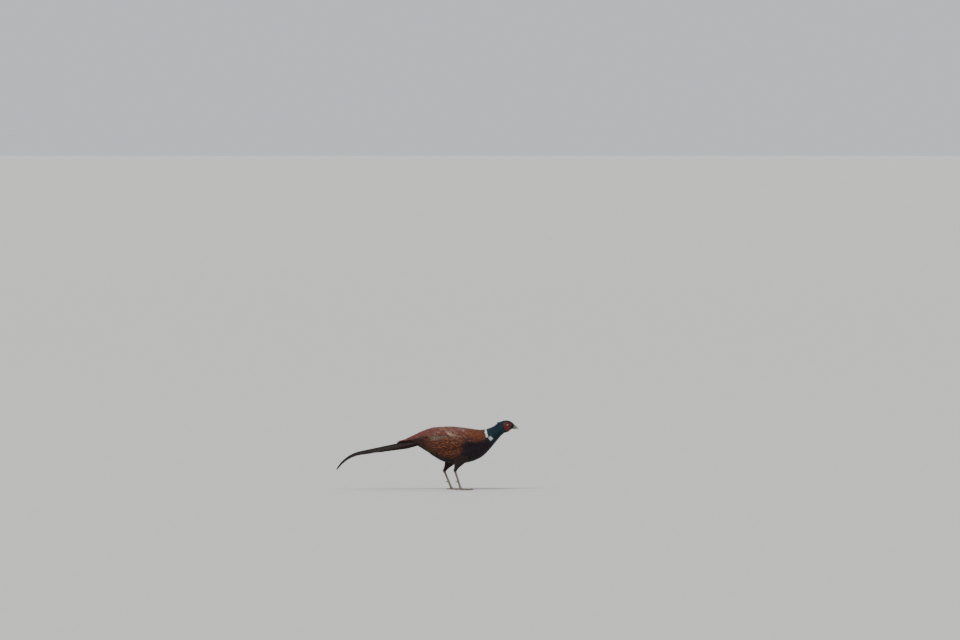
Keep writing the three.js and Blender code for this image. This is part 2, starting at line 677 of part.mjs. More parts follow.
// One ear tuft: pointed feathers that lie back from the crown.
function earTuft(side, head) {
  const pieces = [ball(EAR_TUFT.x - 2, side * (EAR_TUFT.out + 1.9), EAR_TUFT.z - 2.5, 4.6, [1.5, 0.8, 0.9], 10)];
  const random = makeRandom(side === RIGHT ? 5 : 8);
  for (let i = 0; i < EAR_TUFT.feathers; i++) {
    const root = vec(EAR_TUFT.x - i * 1.4, side * (EAR_TUFT.out + i * 1.2), EAR_TUFT.z - i * 2);
    const sink = EAR_TUFT.droop + EAR_TUFT.fall * i - 0.05 * random();
    const way = vec(-1, side * (0.1 + 0.05 * i), -sink).normalize();
    const across = vec(0, side * 0.5, 0.86).cross(way).normalize();
    const face = way.clone().cross(across).normalize();
    const rows = [];
    for (let k = 0; k <= 2; k++) {
      const s = k / 2;
      const width = Math.max(EAR_TUFT.half * (1 - s) ** 0.7, 0.5);
      const middle = root.clone().addScaledVector(way, s * (EAR_TUFT.length - i));
      const edge = (q) => middle.clone().addScaledVector(across, q * width);
      rows.push([-1, 0, 1].map((q) => ({ point: edge(q), normal: face })));
    }
    pieces.push(plate(rows, () => 0.7));
  }
  return largest(joined(pieces).subtract(head));
}

function eyeAt(side, radius) {
  const { point } = sidePoint(EYE.x, EYE.z, side, EYE.out - EYE.radius);
  return ball(point.x, point.y, point.z, radius, [1, 1, 1], 12);
}

const pheasant = new THREE.Group();

function add(name, solid, material) {
  const { numProp, vertProperties, triVerts } = solid.getMesh();
  const positions = new Float32Array((vertProperties.length / numProp) * 3);
  for (let i = 0; i < positions.length / 3; i++) {
    positions.set(vertProperties.subarray(i * numProp, i * numProp + 3), i * 3);
  }
  const geometry = new THREE.BufferGeometry();
  geometry.setAttribute("position", new THREE.BufferAttribute(positions, 3));
  geometry.setIndex(new THREE.BufferAttribute(triVerts, 1));
  const mesh = new THREE.Mesh(geometry, material);
  mesh.name = name;
  pheasant.add(mesh);
}

const halfGap = 0.006; // in sections of BODY, about 0.15 mm
const bodyCut = bodyPart(TAIL_TO_TORSO - 3, TORSO_TO_NECK + 1, 20, GAP + 0.2);
const headCut = bodyPart(NECK_TO_HEAD - 2, BODY.length - 1, 16, GAP);

add("tail", tail(), FINISH.tail);
add("tail_tip", tailTip(), FINISH.tail);
add("torso", bodyPart(TAIL_TO_TORSO + halfGap * 2, TORSO_TO_NECK - halfGap, 18), FINISH.plumage);
add("neck", bodyPart(TORSO_TO_NECK + halfGap, NECK_TO_HEAD - halfGap, 8), FINISH.neck);

const slit = new THREE.BoxGeometry(MOUTH.length, 40, MOUTH.height).rotateY(degToRad(MOUTH.tilt));
let head = bodyPart(NECK_TO_HEAD + halfGap, BODY.length - 1, 12);
head = head.subtract(solidOf(slit.translate(MOUTH.x, 0, MOUTH.z)));
for (const side of [RIGHT, LEFT]) head = head.subtract(eyeAt(side, EYE.radius + GAP));
add("head", largest(head), FINISH.neck);
add("bill_upper", upperBill(headCut), FINISH.bill);
add("bill_lower", lowerBill(headCut), FINISH.bill);

for (const [name, leg] of Object.entries(LEGS)) {
  const { side } = leg;
  add(`wing_${name}`, wing(side, bodyCut), FINISH.wing);
  add(`eye_${name}`, eyeAt(side, EYE.radius), FINISH.eye);
  add(`wattle_${name}`, wattle(side, headCut, eyeAt(side, EYE.radius + GAP)), FINISH.wattle);
  add(`ear_tuft_${name}`, earTuft(side, headCut), FINISH.neck);
  add(`thigh_${name}`, thigh(leg, bodyCut), FINISH.plumage);
  add(`shank_${name}`, shank(leg), FINISH.leg);
  add(`foot_${name}`, foot(leg), FINISH.leg);
  for (const toe of Object.keys(TOES)) add(`claw_${name}_${toe}`, claw(leg, toe), FINISH.claw);
}

// Sets the middle of the whole box over the origin.
const middle = new THREE.Box3().setFromObject(pheasant).getCenter(vec(0, 0, 0));
for (const mesh of pheasant.children) mesh.geometry.translate(-middle.x, -middle.y, 0);

export default pheasant;
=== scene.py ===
"""A cock common pheasant over its CAD frame: skin, feather coat, wings, tail, face and legs, and the studio.

The forms repeat the named stations of the part's source, in millimetres in its own frame, and every finished piece
is written in metres, moved by the small shift that sets the frame's box over the origin.
"""

import logging
import math
from dataclasses import dataclass, field
from enum import Enum

import bpy
import numpy as np
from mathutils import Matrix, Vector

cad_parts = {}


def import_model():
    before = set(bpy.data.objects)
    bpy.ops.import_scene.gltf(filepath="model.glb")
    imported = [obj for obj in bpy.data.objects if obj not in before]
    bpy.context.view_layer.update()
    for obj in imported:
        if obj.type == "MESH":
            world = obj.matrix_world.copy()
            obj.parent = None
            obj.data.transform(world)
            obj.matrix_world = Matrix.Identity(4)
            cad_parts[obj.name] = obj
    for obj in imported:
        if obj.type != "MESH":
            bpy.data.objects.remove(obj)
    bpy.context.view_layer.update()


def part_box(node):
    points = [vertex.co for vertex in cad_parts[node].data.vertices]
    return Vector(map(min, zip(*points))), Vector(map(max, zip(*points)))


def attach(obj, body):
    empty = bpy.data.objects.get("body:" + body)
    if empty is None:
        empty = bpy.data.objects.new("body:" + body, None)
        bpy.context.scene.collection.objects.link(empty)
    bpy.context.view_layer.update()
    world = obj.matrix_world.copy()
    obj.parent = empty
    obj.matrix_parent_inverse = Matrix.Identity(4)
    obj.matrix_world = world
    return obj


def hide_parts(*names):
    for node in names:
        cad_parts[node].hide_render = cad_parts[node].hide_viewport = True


log = logging.getLogger("pheasant")
Array = np.ndarray

# The body's stations: x, z of the centre, half height, half width, and the climb of the spine in degrees.
BODY = np.array([
    (-92, 202, 5, 6, 0), (-66, 206.5, 13, 17, 0), (-37, 207.5, 26, 25, 0), (-8, 204.5, 41, 34, 0),
    (24, 197.5, 57.5, 43, 0), (59, 189, 68.5, 50, 0), (94, 185, 74, 53, 0), (128, 183.5, 73, 54, 0),
    (164, 184, 69, 52, 4), (204, 190.5, 58.5, 46, 12), (236, 207.5, 43, 36.5, 26), (260, 222.5, 32, 28, 32),
    (283, 240, 24.5, 21.5, 38), (299, 252.5, 23.5, 19.5, 38), (311, 258.5, 24.5, 18.5, 24),
    (324, 261.5, 23.5, 17.5, 9), (336, 262.5, 19.5, 14.5, -4), (346, 262, 13, 9.5, -12), (353, 261.5, 8, 6.5, -16),
], float)
SAG = 0.1
TAIL_TO_TORSO = 3.5
TORSO_TO_NECK = 10.35
LAST = len(BODY) - 1
COAT_DEPTH = 3.2

EYE_X, EYE_Z, EYE_RADIUS, EYE_OUT = 327.4, 267.5, 5.4, 2.1
WATTLE = np.array([
    (0, 20.5), (20, 17.5), (45, 12.5), (80, 9.5), (120, 11.5), (150, 16.5), (180, 18.5), (215, 19),
    (245, 24), (262, 28.5), (278, 28), (295, 20.5), (318, 15.5), (340, 16.5), (360, 20.5),
], float)

PIXEL = 4.1  # millimetres of the bird's plane in one pixel of the picture
PICTURE = (960, 640)
LENS, SENSOR = 400.0, 36.0
HORIZON_ROW = 107.0
FLOOR_ROW = 490.0
MIDDLE_COLUMN = 427.05


def srgb(red: float, green: float, blue: float) -> Array:
    """A colour of 0 to 255 a channel, as linear light: the usual curve with the exponent 2.4."""
    c = np.array([red, green, blue], float) / 255.0
    return np.where(c <= 0.04045, c / 12.92, ((c + 0.055) / 1.055) ** 2.4)


def smooth(low: float, high: float, value: Array) -> Array:
    """A smooth step: 3 f^2 - 2 f^3, where f is how far value is from low to high."""
    f = np.clip((value - low) / (high - low), 0.0, 1.0)
    return f * f * (3.0 - 2.0 * f)


def blend(a: Array, b: Array, weight: Array) -> Array:
    """a where weight is 0, and b where it is 1, for colours in the last axis."""
    w = np.asarray(weight)[..., None]
    return a * (1.0 - w) + b * w


def unit(v: Array) -> Array:
    """Each vector divided by its length."""
    return v / np.maximum(np.linalg.norm(v, axis=-1, keepdims=True), 1e-9)


def wobble(x: Array, y: Array, z: Array, scale: float, seed: float = 0.0) -> Array:
    """Soft noise from about -1 to 1: a mean of sines that cross one another at odd angles."""
    k = scale
    a = np.sin(k * x + 1.7 * np.sin(k * 0.7 * y + seed) + seed)
    b = np.sin(k * 1.3 * y + 1.3 * np.sin(k * 0.9 * z + 2.1 * seed) + 0.5)
    c = np.sin(k * 1.1 * z + 1.9 * np.sin(k * 0.8 * x + 0.7 * seed) + 1.9)
    return (a + b + c) / 3.0


class Spline:
    """A smooth curve through rows of numbers, one row to each whole place."""

    def __init__(self, rows: Array) -> None:
        """Keeps the rows, with one more at each end that carries on the first and the last step."""
        r = np.asarray(rows, float)
        self.count = len(r)
        self.rows = np.vstack([2 * r[0] - r[1], r, 2 * r[-1] - r[-2]])

    def at(self, place: Array) -> Array:
        """The row at each place: the uniform Catmull-Rom cubic of the four rows round it.

        Args:
            place: places from 0 to the last row; those outside are moved to the ends.
        Returns:
            an array with the row's numbers in one more axis.
        """
        p = np.clip(np.asarray(place, float), 0.0, self.count - 1.0)
        i = np.minimum(np.floor(p).astype(int), self.count - 2)
        w = (p - i)[..., None]
        p0, p1, p2, p3 = (self.rows[i + k] for k in range(4))
        m1, m2 = 0.5 * (p2 - p0), 0.5 * (p3 - p1)
        return p1 + m1 * w + (3 * (p2 - p1) - 2 * m1 - m2) * w**2 + (2 * (p1 - p2) + m1 + m2) * w**3


class Form:
    """A tube-like surface that is read by a place along it, an angle round it and a height over it."""

    lie = 1.0  # the way that feathers point along the places

    def point(self, place: Array, angle: Array, grow: Array = 0.0) -> Array:
        """The surface's point, grow millimetres over it."""
        raise NotImplementedError

    def normal(self, place: Array, angle: Array) -> Array:
        """The outward normal: the cross product of the two small steps over the surface."""
        along = self.point(place + 0.02, angle) - self.point(place - 0.02, angle)
        round_ = self.point(place, angle + 0.01) - self.point(place, angle - 0.01)
        n = unit(np.cross(along, round_))
        out = self.point(place, angle, 1.0) - self.point(place, angle, 0.0)
        return n * np.sign(np.sum(n * out, axis=-1, keepdims=True))

    def speeds(self, place: Array, angle: Array) -> tuple[Array, Array]:
        """Millimetres of surface in one unit of place, and in one radian."""
        along = (self.point(place + 0.05, angle) - self.point(place - 0.05, angle)) / 0.1
        round_ = (self.point(place, angle + 0.02) - self.point(place, angle - 0.02)) / 0.04
        return np.linalg.norm(along, axis=-1), np.linalg.norm(round_, axis=-1)


class BodyForm(Form):
    """The body from the tips of the tail coverts to the root of the bill. Angle 0 is the top, and y is to the left."""

    lie = -1.0

    def __init__(self) -> None:
        """Makes the spline through the stations."""
        self.spline = Spline(BODY)

    def section(self, place: Array) -> tuple[Array, ...]:
        """Centre x, centre z, half height, half width, tilt and sag at each place, carried on behind the first."""
        p = np.asarray(place, float)
        row = self.spline.at(p)
        behind = np.minimum(p, 0.0)
        thin = np.clip(1.0 + 0.5 * behind, 0.25, 1.0)
        sag = SAG * np.clip((TORSO_TO_NECK - p) / 3.0, 0.0, 1.0)
        return (row[..., 0] + 26.0 * behind, row[..., 1] + 5.0 * behind, row[..., 2] * thin, row[..., 3] * thin,
                np.radians(row[..., 4]), sag)

    def point(self, place: Array, angle: Array, grow: Array = 0.0) -> Array:
        """Centre, plus (half height + grow) cos angle up, plus (half width + grow) sin angle across."""
        x, z, high, wide, tilt, sag = self.section(place)
        rise = (high + grow) * np.cos(angle)
        out = (wide + grow) * np.sin(angle) * (1.0 - sag * np.cos(angle))
        return np.stack(np.broadcast_arrays(x - np.sin(tilt) * rise, out, z + np.cos(tilt) * rise), axis=-1)

    def locate(self, x: Array, z: Array) -> tuple[Array, Array]:
        """The place and the angle, 0 to pi, whose surface point lies at x, z: bisection along the tilted sections."""
        x, z = np.broadcast_arrays(np.asarray(x, float), np.asarray(z, float))
        low, high = np.zeros(x.shape), np.full(x.shape, float(LAST))
        for _ in range(26):
            middle = 0.5 * (low + high)
            cx, cz, _, _, tilt, _ = self.section(middle)
            ahead = (x - cx) * np.cos(tilt) + (z - cz) * np.sin(tilt) > 0.0
            low, high = np.where(ahead, middle, low), np.where(ahead, high, middle)
        place = 0.5 * (low + high)
        cx, cz, tall, _, tilt, _ = self.section(place)
        level = (-(x - cx) * np.sin(tilt) + (z - cz) * np.cos(tilt)) / tall
        return place, np.arccos(np.clip(level, -0.97, 0.97))

    def drape(self, x: Array, z: Array, side: int, lift: Array) -> tuple[Array, Array]:
        """The point of the side wall at x, z, moved out by lift along its normal, and that normal."""
        place, angle = self.locate(x, z)
        n = self.normal(place, side * angle)
        return self.point(place, side * angle) + n * np.asarray(lift)[..., None], n


class Limb(Form):
    """A tapering limb through rows of x, y, z, half size fore and aft, half size across."""

    def __init__(self, rows: list, along: Array | None = None) -> None:
        """Keeps the stations. along, if given, is the one way that all sections face."""
        self.spline = Spline(np.array(rows, float))
        self.along = None if along is None else unit(np.asarray(along, float))
        self.last = len(rows) - 1

    def point(self, place: Array, angle: Array, grow: Array = 0.0) -> Array:
        """Centre, plus fore (size + grow) cos angle, plus across (size + grow) sin angle."""
        row = self.spline.at(place)
        if self.along is None:
            step = self.spline.at(np.asarray(place) + 0.05) - self.spline.at(np.asarray(place) - 0.05)
            along = unit(step[..., :3])
        else:
            along = np.broadcast_to(self.along, row[..., :3].shape)
        y = np.zeros_like(along)
        y[..., 1] = 1.0
        across = unit(y - along * along[..., 1:2])
        fore = np.cross(across, along)
        grow = np.asarray(grow, float)
        cosine = ((row[..., 3] + grow) * np.cos(angle))[..., None]
        sine = ((row[..., 4] + grow) * np.sin(angle))[..., None]
        return row[..., :3] + fore * cosine + across * sine


class Slot(Enum):
    """The material slots that each piece is given."""

    PLUMAGE = "plumage"
    NECK = "neck"
    WING = "wing"
    TAIL = "tail"
    WATTLE = "wattle"
    BILL = "bill"
    EYE = "eye"
    LEG = "leg"
    CLAW = "claw"


@dataclass(frozen=True)
class Finish:
    """How a surface looks over the colour that its mesh carries."""

    name: str
    roughness: float
    metallic: float = 0.0
    coat: float = 0.0
    sheen: float = 0.0
    specular: float = 0.5
    barbs: float = 0.0  # how strongly the barbs of a feather show
    grain: float = 0.1  # change of brightness from fine noise
    grain_scale: float = 350.0
    bump: float = 0.0
    bump_scale: float = 600.0
    subsurface: float = 0.0

    def material(self) -> bpy.types.Material:
        """The material, made once: the mesh's colour, times barbs along the vane and fine noise."""
        made = bpy.data.materials.get(self.name)
        if made:
            return made
        made = bpy.data.materials.new(self.name)
        made.use_nodes = True
        tree = made.node_tree
        shader = tree.nodes["Principled BSDF"]
        shader.inputs["Roughness"].default_value = self.roughness
        shader.inputs["Metallic"].default_value = self.metallic
        shader.inputs["Coat Weight"].default_value = self.coat
        shader.inputs["Coat Roughness"].default_value = 0.25
        shader.inputs["Sheen Weight"].default_value = self.sheen
        shader.inputs["Sheen Roughness"].default_value = 0.4
        shader.inputs["Specular IOR Level"].default_value = self.specular
        shader.inputs["Subsurface Weight"].default_value = self.subsurface
        shader.inputs["Subsurface Radius"].default_value = (0.003, 0.001, 0.0006)
        nodes = Nodes(tree)
        colour = nodes.add("ShaderNodeAttribute", attribute_name="Col").outputs["Color"]
        place = nodes.add("ShaderNodeTexCoord").outputs["Object"]
        noise = nodes.add("ShaderNodeTexNoise", Vector=place, Scale=self.grain_scale, Detail=3.0).outputs["Fac"]
        shade = nodes.math("MULTIPLY_ADD", noise, 2.0 * self.grain, 1.0 - self.grain)
        height = nodes.add("ShaderNodeTexNoise", Vector=place, Scale=self.bump_scale, Detail=2.0).outputs["Fac"]
        if self.barbs:
            vane = nodes.add("ShaderNodeUVMap", uv_map="Vane").outputs["UV"]
            parts = nodes.add("ShaderNodeSeparateXYZ", Vector=vane)
            width = nodes.math("ABSOLUTE", parts.outputs["X"])
            slant = nodes.math("MULTIPLY_ADD", width, 0.8, parts.outputs["Y"])
            stir = nodes.math("MULTIPLY_ADD", noise, 1.5, slant)
            barb = nodes.math("SINE", nodes.math("MULTIPLY", stir, 2.0 * math.pi / 0.85))
            shade = nodes.math("MULTIPLY", shade, nodes.math("MULTIPLY_ADD", barb, 0.5 * self.barbs, 1.0))
            shaft = nodes.math("SUBTRACT", 1.0, nodes.math("MINIMUM", nodes.math("MULTIPLY", width, 3.0), 1.0))
            shade = nodes.math("MULTIPLY_ADD", shaft, 0.9 * self.barbs, shade)
            height = nodes.math("MULTIPLY_ADD", barb, 0.5, height)
            height = nodes.math("ADD", height, nodes.math("MULTIPLY", shaft, 1.5))
        scale = nodes.add("ShaderNodeVectorMath", operation="SCALE")
        tree.links.new(colour, scale.inputs[0])
        tree.links.new(shade, scale.inputs["Scale"])
        tree.links.new(scale.outputs[0], shader.inputs["Base Color"])
        if self.bump:
            bump = nodes.add("ShaderNodeBump", Height=height, Strength=self.bump, Distance=0.0006)
            tree.links.new(bump.outputs[0], shader.inputs["Normal"])
        return made


@dataclass
class Nodes:
    """Short ways to add nodes to a tree."""

    tree: bpy.types.NodeTree

    def add(self, kind: str, **values: object) -> bpy.types.Node:
        """A node of that kind. Each value sets the input of that name, links to it, or sets the node's property."""
        node = self.tree.nodes.new(kind)
        for name, value in values.items():
            if name not in node.inputs:
                setattr(node, name, value)
            elif isinstance(value, bpy.types.NodeSocket):
                self.tree.links.new(value, node.inputs[name])
            else:
                node.inputs[name].default_value = value
        return node

    def math(self, operation: str, *values: object) -> bpy.types.NodeSocket:
        """The output of a Math node whose inputs are these sockets or numbers."""
        node = self.tree.nodes.new("ShaderNodeMath")
        node.operation = operation
        for socket, value in zip(node.inputs, values):
            if isinstance(value, bpy.types.NodeSocket):
                self.tree.links.new(value, socket)
            else:
                socket.default_value = value
        return node.outputs[0]


FEATHER = Finish("feather", roughness=0.66, sheen=0.04, specular=0.22, barbs=0.28, grain=0.14, bump=0.5)
FEATHER_SHINY = Finish("feather_iridescent", roughness=0.42, metallic=0.45, specular=0.35, barbs=0.3, grain=0.2,
                       bump=0.45)
FEATHER_WING = Finish("feather_wing", roughness=0.64, sheen=0.04, specular=0.25, barbs=0.34, grain=0.14, bump=0.6)
FEATHER_TAIL = Finish("feather_tail", roughness=0.72, specular=0.2, barbs=0.4, grain=0.12, bump=0.6)
SKIN = Finish("skin_plumage", roughness=0.7, specular=0.2, grain=0.2, bump=0.5)
WATTLE_SKIN = Finish("wattle_skin", roughness=0.5, specular=0.35, grain=0.22, grain_scale=900, bump=0.7,
                     bump_scale=1500, subsurface=0.08)
HORN = Finish("horn", roughness=0.36, coat=0.2, grain=0.16, grain_scale=260, bump=0.15)
EYEBALL = Finish("eyeball", roughness=0.06, coat=1.0, specular=0.7, grain=0.05)
LEG_SCALES = Finish("leg_scales", roughness=0.5, coat=0.12, grain=0.2, grain_scale=500, bump=0.35)


@dataclass
class Piece:
    """Arrays of one mesh, gathered until it is made: vertices in millimetres, quads, colours and feather maps."""

    name: str
    finish: Finish
    slot: Slot
    vertices: list = field(default_factory=list)
    faces: list = field(default_factory=list)
    colours: list = field(default_factory=list)
    maps: list = field(default_factory=list)
    size: int = 0

    def add(self, vertices: Array, faces: Array, colours: Array, maps: Array | None = None) -> None:
        """Adds a mesh to this piece. All arrays but faces have one row to a vertex.

        Args:
            vertices: points in millimetres. faces: quads, with a repeated last corner for a triangle.
            colours: linear red, green, blue. maps: for feathers, millimetres across and along the vane, and OFBake.
        """
        self.vertices.append(vertices)
        self.faces.append(faces + self.size)
        self.colours.append(np.broadcast_to(colours, vertices.shape))
        if maps is not None:
            self.maps.append(maps)
        self.size += len(vertices)

    def add_tube(self, rings: Array, colours: Array) -> None:
        """Adds a closed tube through rings of points, with one more point in the middle of each end.

        Args:
            rings: points in millimetres, shaped (rings, sides, 3). colours: the same, or what broadcasts to it.
        """
        rows, sides = rings.shape[:2]
        vertices, colours = (np.vstack([a.reshape(-1, 3), a[0].mean(axis=0), a[-1].mean(axis=0)])
                             for a in (rings, np.broadcast_to(colours, rings.shape)))
        here = np.arange(sides)
        after = (here + 1) % sides
        back = (rows - 1) * sides
        first = np.stack([np.full(sides, rows * sides), here, after, after], axis=-1)
        last = np.stack([np.full(sides, rows * sides + 1), back + after, back + here, back + here], axis=-1)
        faces = np.vstack([grid_faces(rows, sides, closed=True)[:, ::-1], first, last])
        self.add(vertices, turned_out(vertices, faces), colours)

    def make(self, shift: Array, replaces: tuple[str, ...] = ()) -> bpy.types.Object:
        """Writes the mesh, gives it its material, and lets it ride on the bird in place of the named nodes."""
        vertices = (np.concatenate(self.vertices) + shift) / 1000.0
        quads = np.concatenate(self.faces)
        mesh = bpy.data.meshes.new(self.name)
        triangle = quads[:, 3] == quads[:, 2]
        lengths = np.where(triangle, 3, 4)
        starts = np.concatenate([[0], np.cumsum(lengths)[:-1]])
        keep = np.ones(quads.shape, bool)
        keep[triangle, 3] = False
        corners = quads[keep]
        mesh.vertices.add(len(vertices))
        mesh.vertices.foreach_set("co", vertices.astype(np.float32).ravel())
        mesh.loops.add(len(corners))
        mesh.loops.foreach_set("vertex_index", corners.astype(np.int32))
        mesh.polygons.add(len(quads))
        mesh.polygons.foreach_set("loop_start", starts.astype(np.int32))
        mesh.polygons.foreach_set("use_smooth", np.ones(len(quads), bool))
        mesh.update(calc_edges=True)
        if self.maps:
            maps = np.concatenate(self.maps)[corners].astype(np.float32)
            for name, values in (("OFBake", maps[:, 2:]), ("Vane", maps[:, :2])):
                mesh.uv_layers.new(name=name).uv.foreach_set("vector", values.ravel())
        colours = np.concatenate(self.colours)
        colours = np.column_stack([np.clip(colours, 0.0, 1.0), np.ones(len(colours))])
        attribute = mesh.attributes.new("Col", "FLOAT_COLOR", "POINT")
        attribute.data.foreach_set("color", colours.astype(np.float32).ravel())
        mesh.validate()
        made = bpy.data.objects.new(self.name, mesh)
        bpy.context.scene.collection.objects.link(made)
        mesh.materials.append(self.finish.material())
        if replaces:
            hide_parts(*replaces)
        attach(made, "root")
        log.info("%s: %d triangles", self.name, int(np.sum(lengths - 2)))
        return made


def grid_faces(rows: int, columns: int, closed: bool = False, looped: bool = False) -> Array:
    """Quads of a grid of vertices. closed joins the last column to the first, looped the last row to the first."""
    index = np.arange(rows * columns).reshape(rows, columns)
    if closed:
        index = np.hstack([index, index[:, :1]])
    if looped:
        index = np.vstack([index, index[:1]])
    quads = np.stack([index[:-1, :-1], index[:-1, 1:], index[1:, 1:], index[1:, :-1]], axis=-1)
    return quads.reshape(-1, 4)


def circle(sides: int) -> Array:
    """Angles evenly round a circle, as one row."""
    return (2.0 * np.pi * np.arange(sides) / sides)[None, :]


def turned_out(vertices: Array, faces: Array) -> Array:
    """The faces of a closed mesh, reversed if its signed volume is below 0: 0 3 2 1, or 0 2 1 1 for a triangle."""
    a, b, c, d = (vertices[faces[:, k]] for k in range(4))
    if np.sum(a * np.cross(b, c)) + np.sum(a * np.cross(c, d)) > 0:
        return faces
    triangle = faces[:, 2] == faces[:, 3]
    made = faces[:, [0, 3, 2, 1]]
    made[triangle] = faces[triangle][:, [0, 2, 1, 1]]
    return made


class Vanes:
    """Many feathers of one grid size, each a thin closed lens: its two faces share the rim."""

    def __init__(self, rows: int, columns: int) -> None:
        """Sets the grid, and the faces of one feather."""
        self.rows, self.columns = rows, columns
        self.s = 1.0 - (1.0 - np.linspace(0.0, 1.0, rows)[None, :, None]) ** 1.5  # closer together at the tip
        self.q = np.linspace(-1.0, 1.0, columns)[None, None, :]
        top = np.arange(rows * columns).reshape(rows, columns)
        under = top.copy()
        inner = (rows - 2) * (columns - 2)
        under[1:-1, 1:-1] = rows * columns + np.arange(inner).reshape(rows - 2, columns - 2)
        self.per_feather = rows * columns + inner
        flat = grid_faces(rows, columns)
        self.faces = np.vstack([flat, under.ravel()[flat][:, ::-1]])

    def width(self, half: Array, point: float, root: float = 0.5) -> Array:
        """Half width along a feather: (root + rise) to 1, times the root of (1 - s^point) towards the tip."""
        rise = np.clip(root + 2.2 * self.s, 0.0, 1.0)
        tip = np.sqrt(np.clip(1.0 - self.s**point, 0.0, 1.0))
        return half[:, None, None] * np.maximum(rise * tip, 0.03)

    def fill(self, piece: Piece, points: Array, normals: Array, thick: float, colours: Array, across: Array,
             along: Array, bake: Array, patch: tuple[float, float] = (0.0015, 0.0015)) -> None:
        """Adds the feathers to a piece.

        Args:
            points, normals: one to a grid vertex, shaped (feathers, rows, columns, 3). thick: in millimetres.
            colours: the same shape. across, along: millimetres on the vane, shaped (feathers, rows, columns).
            bake: the middle of each feather's patch of the OFBake map, shaped (feathers, 2). patch: its half size.
        """
        count = len(points)
        ridge = (thick * (1.0 - self.q**2) * np.ones_like(self.s))[..., None]
        inside = (slice(None), slice(1, -1), slice(1, -1))

        def both(values: Array, under: Array) -> Array:
            k = values.shape[-1]
            return np.concatenate([values.reshape(count, -1, k), under[inside].reshape(count, -1, k)], axis=1)

        vertices = both(points + normals * 0.5 * ridge, points - normals * 0.5 * ridge)
        # The grid may run either way across, so the faces are set by the first feather's own normal.
        a, b, c = points[0, 1, 1], points[0, 1, 2], points[0, 2, 1]
        faces = self.faces if np.dot(np.cross(b - a, c - a), normals[0, 1, 1]) > 0 else self.faces[:, ::-1]
        offsets = (np.arange(count) * self.per_feather)[:, None, None]
        spread = np.stack(np.broadcast_arrays(patch[0] * self.q, patch[1] * (2.0 * self.s - 1.0)), axis=-1)
        maps = np.stack(np.broadcast_arrays(across, along, *np.moveaxis(bake[:, None, None] + spread, -1, 0)), -1)
        piece.add(vertices.reshape(-1, 3), (faces[None] + offsets).reshape(-1, 4),
                  both(colours, colours).reshape(-1, 3), both(maps, maps).reshape(-1, 4))


